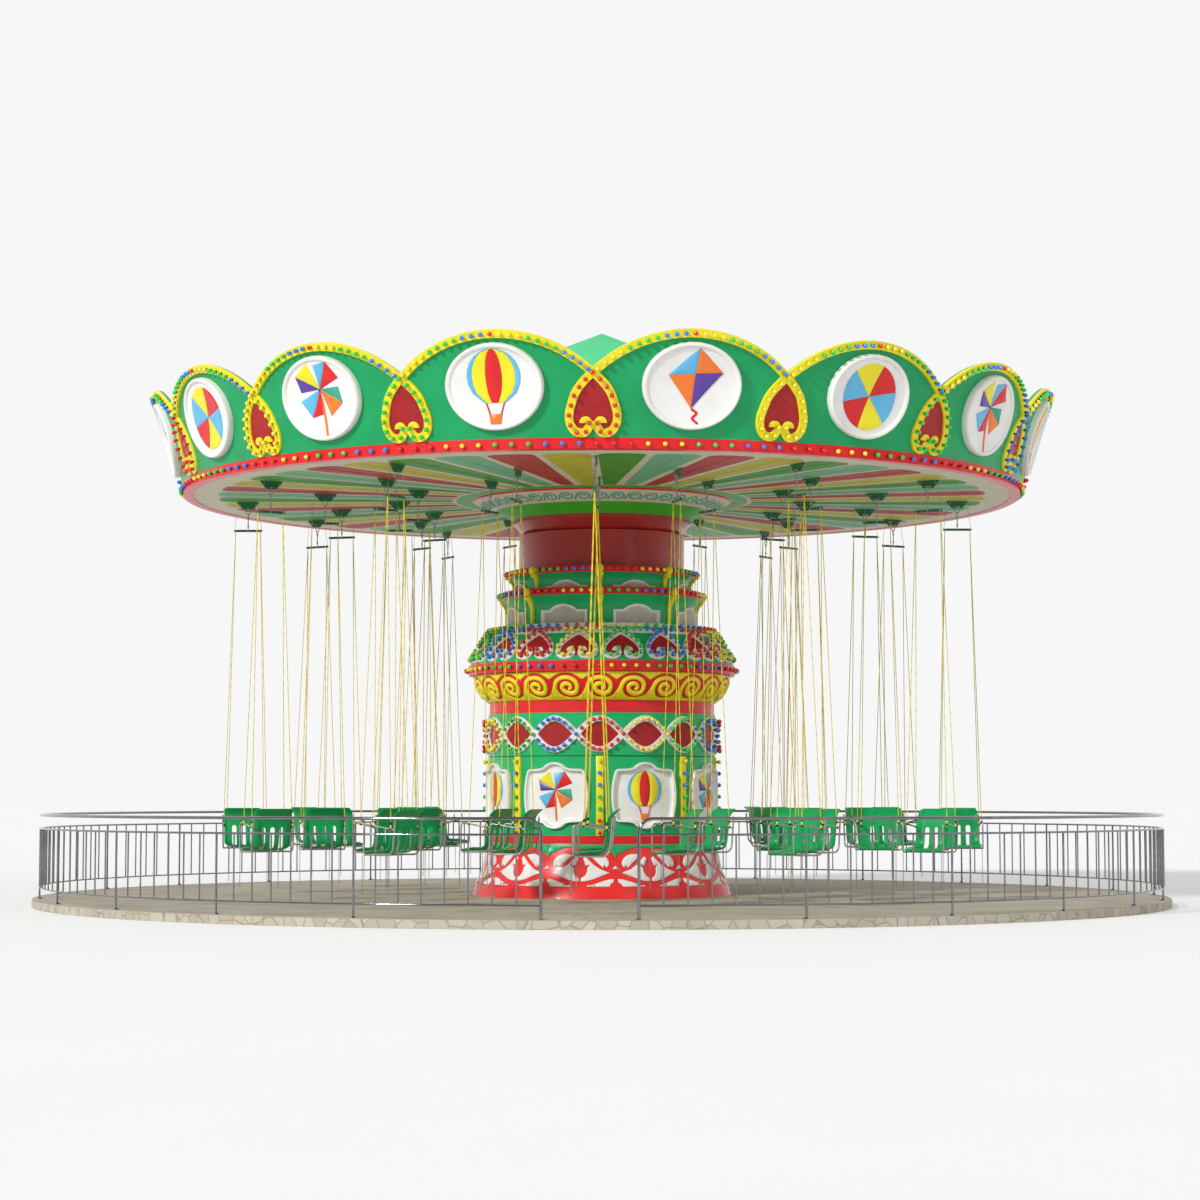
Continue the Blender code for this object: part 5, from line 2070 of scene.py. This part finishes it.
@dataclass
class Chair:
    """One hanging chair in its hanger's frame: X outward, Y to its back, heights over the deck.

    The pin lies on the origin, at PIN_HEIGHT.
    """

    half_width: float = 0.268
    arm: float = 0.275
    tube: float = 0.011
    front: float = -0.247
    back: float = 0.204
    back_top: float = 1.082
    arm_front: float = 1.0
    arm_back: float = 0.936
    foot: float = 0.632
    cross: tuple[float, float] = (-0.15, 0.06)
    bar_half: float = 0.193
    bar_height: float = 4.985
    rope_reach: float = 0.171
    rope: float = 0.0048
    rope_feet: tuple[float, float] = (-0.126, 0.15)
    shell_thick: float = 0.011
    profile: Line = (
        (-0.252, 0.64), (-0.246, 0.656), (-0.225, 0.664), (-0.12, 0.66), (0.0, 0.656),
        (0.07, 0.66), (0.118, 0.68), (0.146, 0.722), (0.158, 0.79), (0.17, 0.9), (0.182, 1.01),
        (0.192, 1.07), (0.214, 1.105), (0.25, 1.142), (0.288, 1.172))
    slots: tuple[float, ...] = (-0.125, 0.0, 0.125)
    slot_half: float = 0.031
    ribs: tuple[float, ...] = (-0.19, -0.063, 0.063, 0.19)
    chain_low: float = 0.165
    chain_pitch: float = 0.021
    chain_inset: float = 0.012

    def lifted(self, x: float, y: float, z: float) -> Vector:
        """Place in the hanger's frame."""
        return Vector((x, y, z - PIN_HEIGHT))

    def pieces(self) -> list[tuple[Vector, Vector]]:
        """Straight pieces of the seat's section."""
        line = [Vector(point) for point in self.profile]
        return list(zip(line, line[1:]))

    def shell_at(self, u: float, v: float, w: float) -> Vector:
        """Place on the seat.

        Args:
            u: Way across.
            v: Way along its section from the front edge.
            w: Distance proud.

        Returns:
            Point in the hanger's frame.
        """
        rest = v
        for a, b in self.pieces():
            if rest <= (b - a).length:
                break
            rest -= (b - a).length
        else:
            rest += (b - a).length
        along = (b - a).normalized()
        edge = max(0.0, abs(u) / self.half_width - 0.72) / 0.28
        curl = 0.03 * edge ** 2 * min(1.0, max(0.0, (v - 0.05) / 0.15))
        spot = a + along * rest + along.orthogonal() * (w + curl)
        return self.lifted(u, spot.x, spot.y)

    def seat(self) -> Mesh:
        """Moulded shell with three slots in its back and a raised edge."""
        w, top = self.half_width, sum((b - a).length for a, b in self.pieces())
        half = [(0.0, 0.0), (w - 0.05, 0.0)]
        half += arc_points((w - 0.05, 0.05), 0.05, -70, 0, 4)
        half += [(w, top - 0.24), (w - 0.004, top - 0.17)]
        half += arc_points((w - 0.075, top - 0.055), 0.055, 15, 90, 5)
        loops = [half + [(0.0, top)] + mirrored(half[1:])]
        loops += [arc_points((centre, top - 0.3), self.slot_half, 0, 180, 6)
                  + arc_points((centre, top - 0.55), self.slot_half, 180, 360, 6)
                  for centre in self.slots]
        shape = relief(loops, self.shell_thick, self.shell_at, 0.004, 0.045, 0.0, 0.03)
        ribs = [ribbon([(centre, 0.07 + 0.05 * k) for k in range(7)], 0.006,
                       self.shell_thick + 0.004, self.shell_at, ROUNDED) for centre in self.ribs]
        return joined([shape] + ribs)

    def frame(self) -> Mesh:
        """Both side loops of chromed tube with the cross tubes under the seat."""
        front, back, foot, arm = self.front, self.back, self.foot, self.arm_front
        side = [(back + 0.008, self.back_top), (back, 0.95)]
        side += arc_points((back - 0.11, foot + 0.09), 0.09, 0, -90, 6)
        side += [(-0.1, foot)]
        side += [(front + 0.028 * (1 - v), foot + 0.028 * (1 - u))
                 for u, v in arc_points((0.0, 0.0), 1.0, 0, 90, 4)]
        side += [(front + 0.05 * (1 - u), arm - 0.05 * (1 - v))
                 for u, v in arc_points((0.0, 0.0), 1.0, 0, 82, 5)]
        side += [(back - 0.004, self.arm_back)]
        made = [tube([self.lifted(x, y, z) for y, z in side], self.tube)
                for x in (-self.arm, self.arm)]
        made += [tube([self.lifted(x, y, foot) for x in (-self.arm, self.arm)], self.tube * 0.85)
                 for y in self.cross]
        return joined(made)

    def ropes(self) -> Mesh:
        """Four taut ropes with their black and yellow sleeves at the armrests."""
        made = []
        for side in (-1, 1):
            for along in self.rope_feet:
                share = (along - self.front) / (self.back - self.front)
                height = self.arm_front + (self.arm_back - self.arm_front) * share
                top = self.lifted(side * self.rope_reach, 0.0, self.bar_height)
                low = self.lifted(side * self.arm, along, height)
                ahead = (top - low).normalized()
                made.append(painted(tube([low, top], self.rope, 6), ROPE))
                for start, end, size, finish in ((0.01, 0.048, 0.0105, YELLOW),
                                                 (0.048, 0.085, 0.0085, RUBBER)):
                    sleeve = tube([low + ahead * start, low + ahead * end], size)
                    made.append(painted(sleeve, finish))
                clamp = tube([low + Vector((x * side, 0, 0)) for x in (-0.018, 0.014)], 0.013)
                made.append(painted(clamp, RUBBER))
        return joined(made)

    def hanger(self) -> Mesh:
        """Shackle, swivel rod and spreader bar with its three bolts."""
        bow = [Vector((x, 0, z)) for x, z in [(0.03, 0.012)]
               + arc_points((0, -0.052), 0.03, 0, -180, 9) + [(-0.03, 0.012)]]
        eye = [Vector((0, y, z)) for y, z in arc_points((0, -0.098), 0.02, 0, 360, 10)[:-1]]
        made = [tube(bow, 0.0065), tube([Vector((x, 0, 0)) for x in (-0.042, 0.042)], 0.009),
                tube(eye, 0.006, 6, closed=True)]
        for low, high, size, sides in ((-0.116, self.bar_height + 0.02 - PIN_HEIGHT, 0.007, 8),
                                       (-0.15, -0.122, 0.012, 6), (-0.262, -0.236, 0.012, 6)):
            made.append(tube([Vector((0, 0, low)), Vector((0, 0, high))], size, sides))
        height = self.bar_height
        for x in (-self.rope_reach, 0.0, self.rope_reach):
            made.append(tube([self.lifted(x, y, height) for y in (-0.024, 0.024)], 0.0125))
        bar = tube([self.lifted(x, 0, height) for x in (-self.bar_half, self.bar_half)], 0.0165,
                   12)
        return joined([painted(joined(made), ZINC), painted(bar, BRACKET_GREEN)])

    def chains(self) -> Mesh:
        """Two thin chains that hang from the seat's front corners, link by link."""
        top = self.foot - 0.004
        spots = [tuple(self.lifted(side * (self.arm - self.chain_inset), self.front - 0.03,
                                   top - self.chain_pitch * (k + 0.5))) for side in (-1, 1)
                 for k in range(int((top - self.chain_low) / self.chain_pitch))]
        mesh = bpy.data.meshes.new("chain places")
        mesh.from_pydata(spots, [], [])
        return grown(mesh, link_tree(), ZINC, length=1.9, width=0.0075, wire=0.0022)

    def hooks(self) -> Mesh:
        """Short hooks that carry the chains."""
        path = [(0.004, 0.012), (-0.018, 0.01), (-0.03, -0.004)]
        return painted(joined([tube([self.lifted(side * (self.arm - self.chain_inset),
                                                 self.front + y, self.foot + z) for y, z in path],
                                    0.0035, 6) for side in (-1, 1)]), ZINC)

    def wires(self) -> Mesh:
        """Two safety wires from the bracket's ends to the bar's ends."""
        made = []
        for side in (-1, 1):
            top = self.lifted(side * 0.135, 0.0187, 5.362)
            low = self.lifted(side * (self.bar_half - 0.006), 0.0, self.bar_height + 0.01)
            made.append(tube([top.lerp(low, share / 5) for share in range(6)], 0.0028, 5))
        return painted(joined(made), ZINC)


@dataclass
class Chairs(Assembly):
    """All chairs on their three rings, each from the one set of meshes."""

    slot = "seat_plastic"
    blend: tuple[float, float] = (0.02, -0.2)

    def build(self) -> None:
        """Make one set of meshes and hang it on every bracket."""
        chair = Chair()
        rigging = joined([chair.ropes(), chair.hanger(), chair.hooks(), chair.chains()])
        parts = (("seat", chair.seat(), SEAT), ("tubes", chair.frame(), CHROME),
                 ("rigging", rigging, ROPE), ("wires", chair.wires(), ZINC))
        for ring in HANGERS:
            for k in range(CHAIRS_PER_RING):
                azimuth = ring.first + 360 * k / CHAIRS_PER_RING
                place = (Matrix.Translation(polar(ring.radius, azimuth, PIN_HEIGHT))
                         @ turned(azimuth - 90))
                self.hang(f"chair_{ring.name}_{k + 1:02d}", place, parts)

    def hang(self, name: str, place: Matrix, parts: Sequence[tuple[str, Mesh, Finish]]) -> None:
        """Hang one chair on its bracket.

        Args:
            name: Name of the chair's node.
            place: Place and turn of its hanger.
            parts: Name, mesh in the hanger's frame and finish of each part.
        """
        ends = [place @ Vector((0, 0, z)) for z in self.blend]
        for label, source, finish in parts:
            mesh = source.copy()
            mesh.transform(place)
            metal = label in ("tubes", "wires")
            self.put(f"{name}_{label}", mesh, finish, *([name] if label == "seat" else []),
                     slot="fence_steel" if metal else "", body=f"{name}_body",
                     blend=ends if label == "wires" else ())


def main() -> None:
    """Build the ride in order, from the studio and the deck up to the roof."""
    logging.basicConfig(level=logging.INFO, format="%(message)s")
    fixed = LampField("column")
    turning = LampField("crown", "crown", "board_paint")
    Studio().build()
    for part in (Platform(), Fence(), Skirt()):
        part.build()
    Drums().build(fixed)
    Bowl().build()
    Tiers().build(fixed)
    NeckAndHub().build()
    Ceiling().build()
    Crown().build(turning)
    for part in (fixed, turning, Chairs()):
        part.build()
    boxes = {"cad": [list(corner) for corner in CAD_BOX],
             "visual": [list(corner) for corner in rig.bounds()]}
    with open("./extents.json", "w", encoding="utf-8") as target:
        json.dump(boxes, target)


if __name__ == "__main__":
    main()
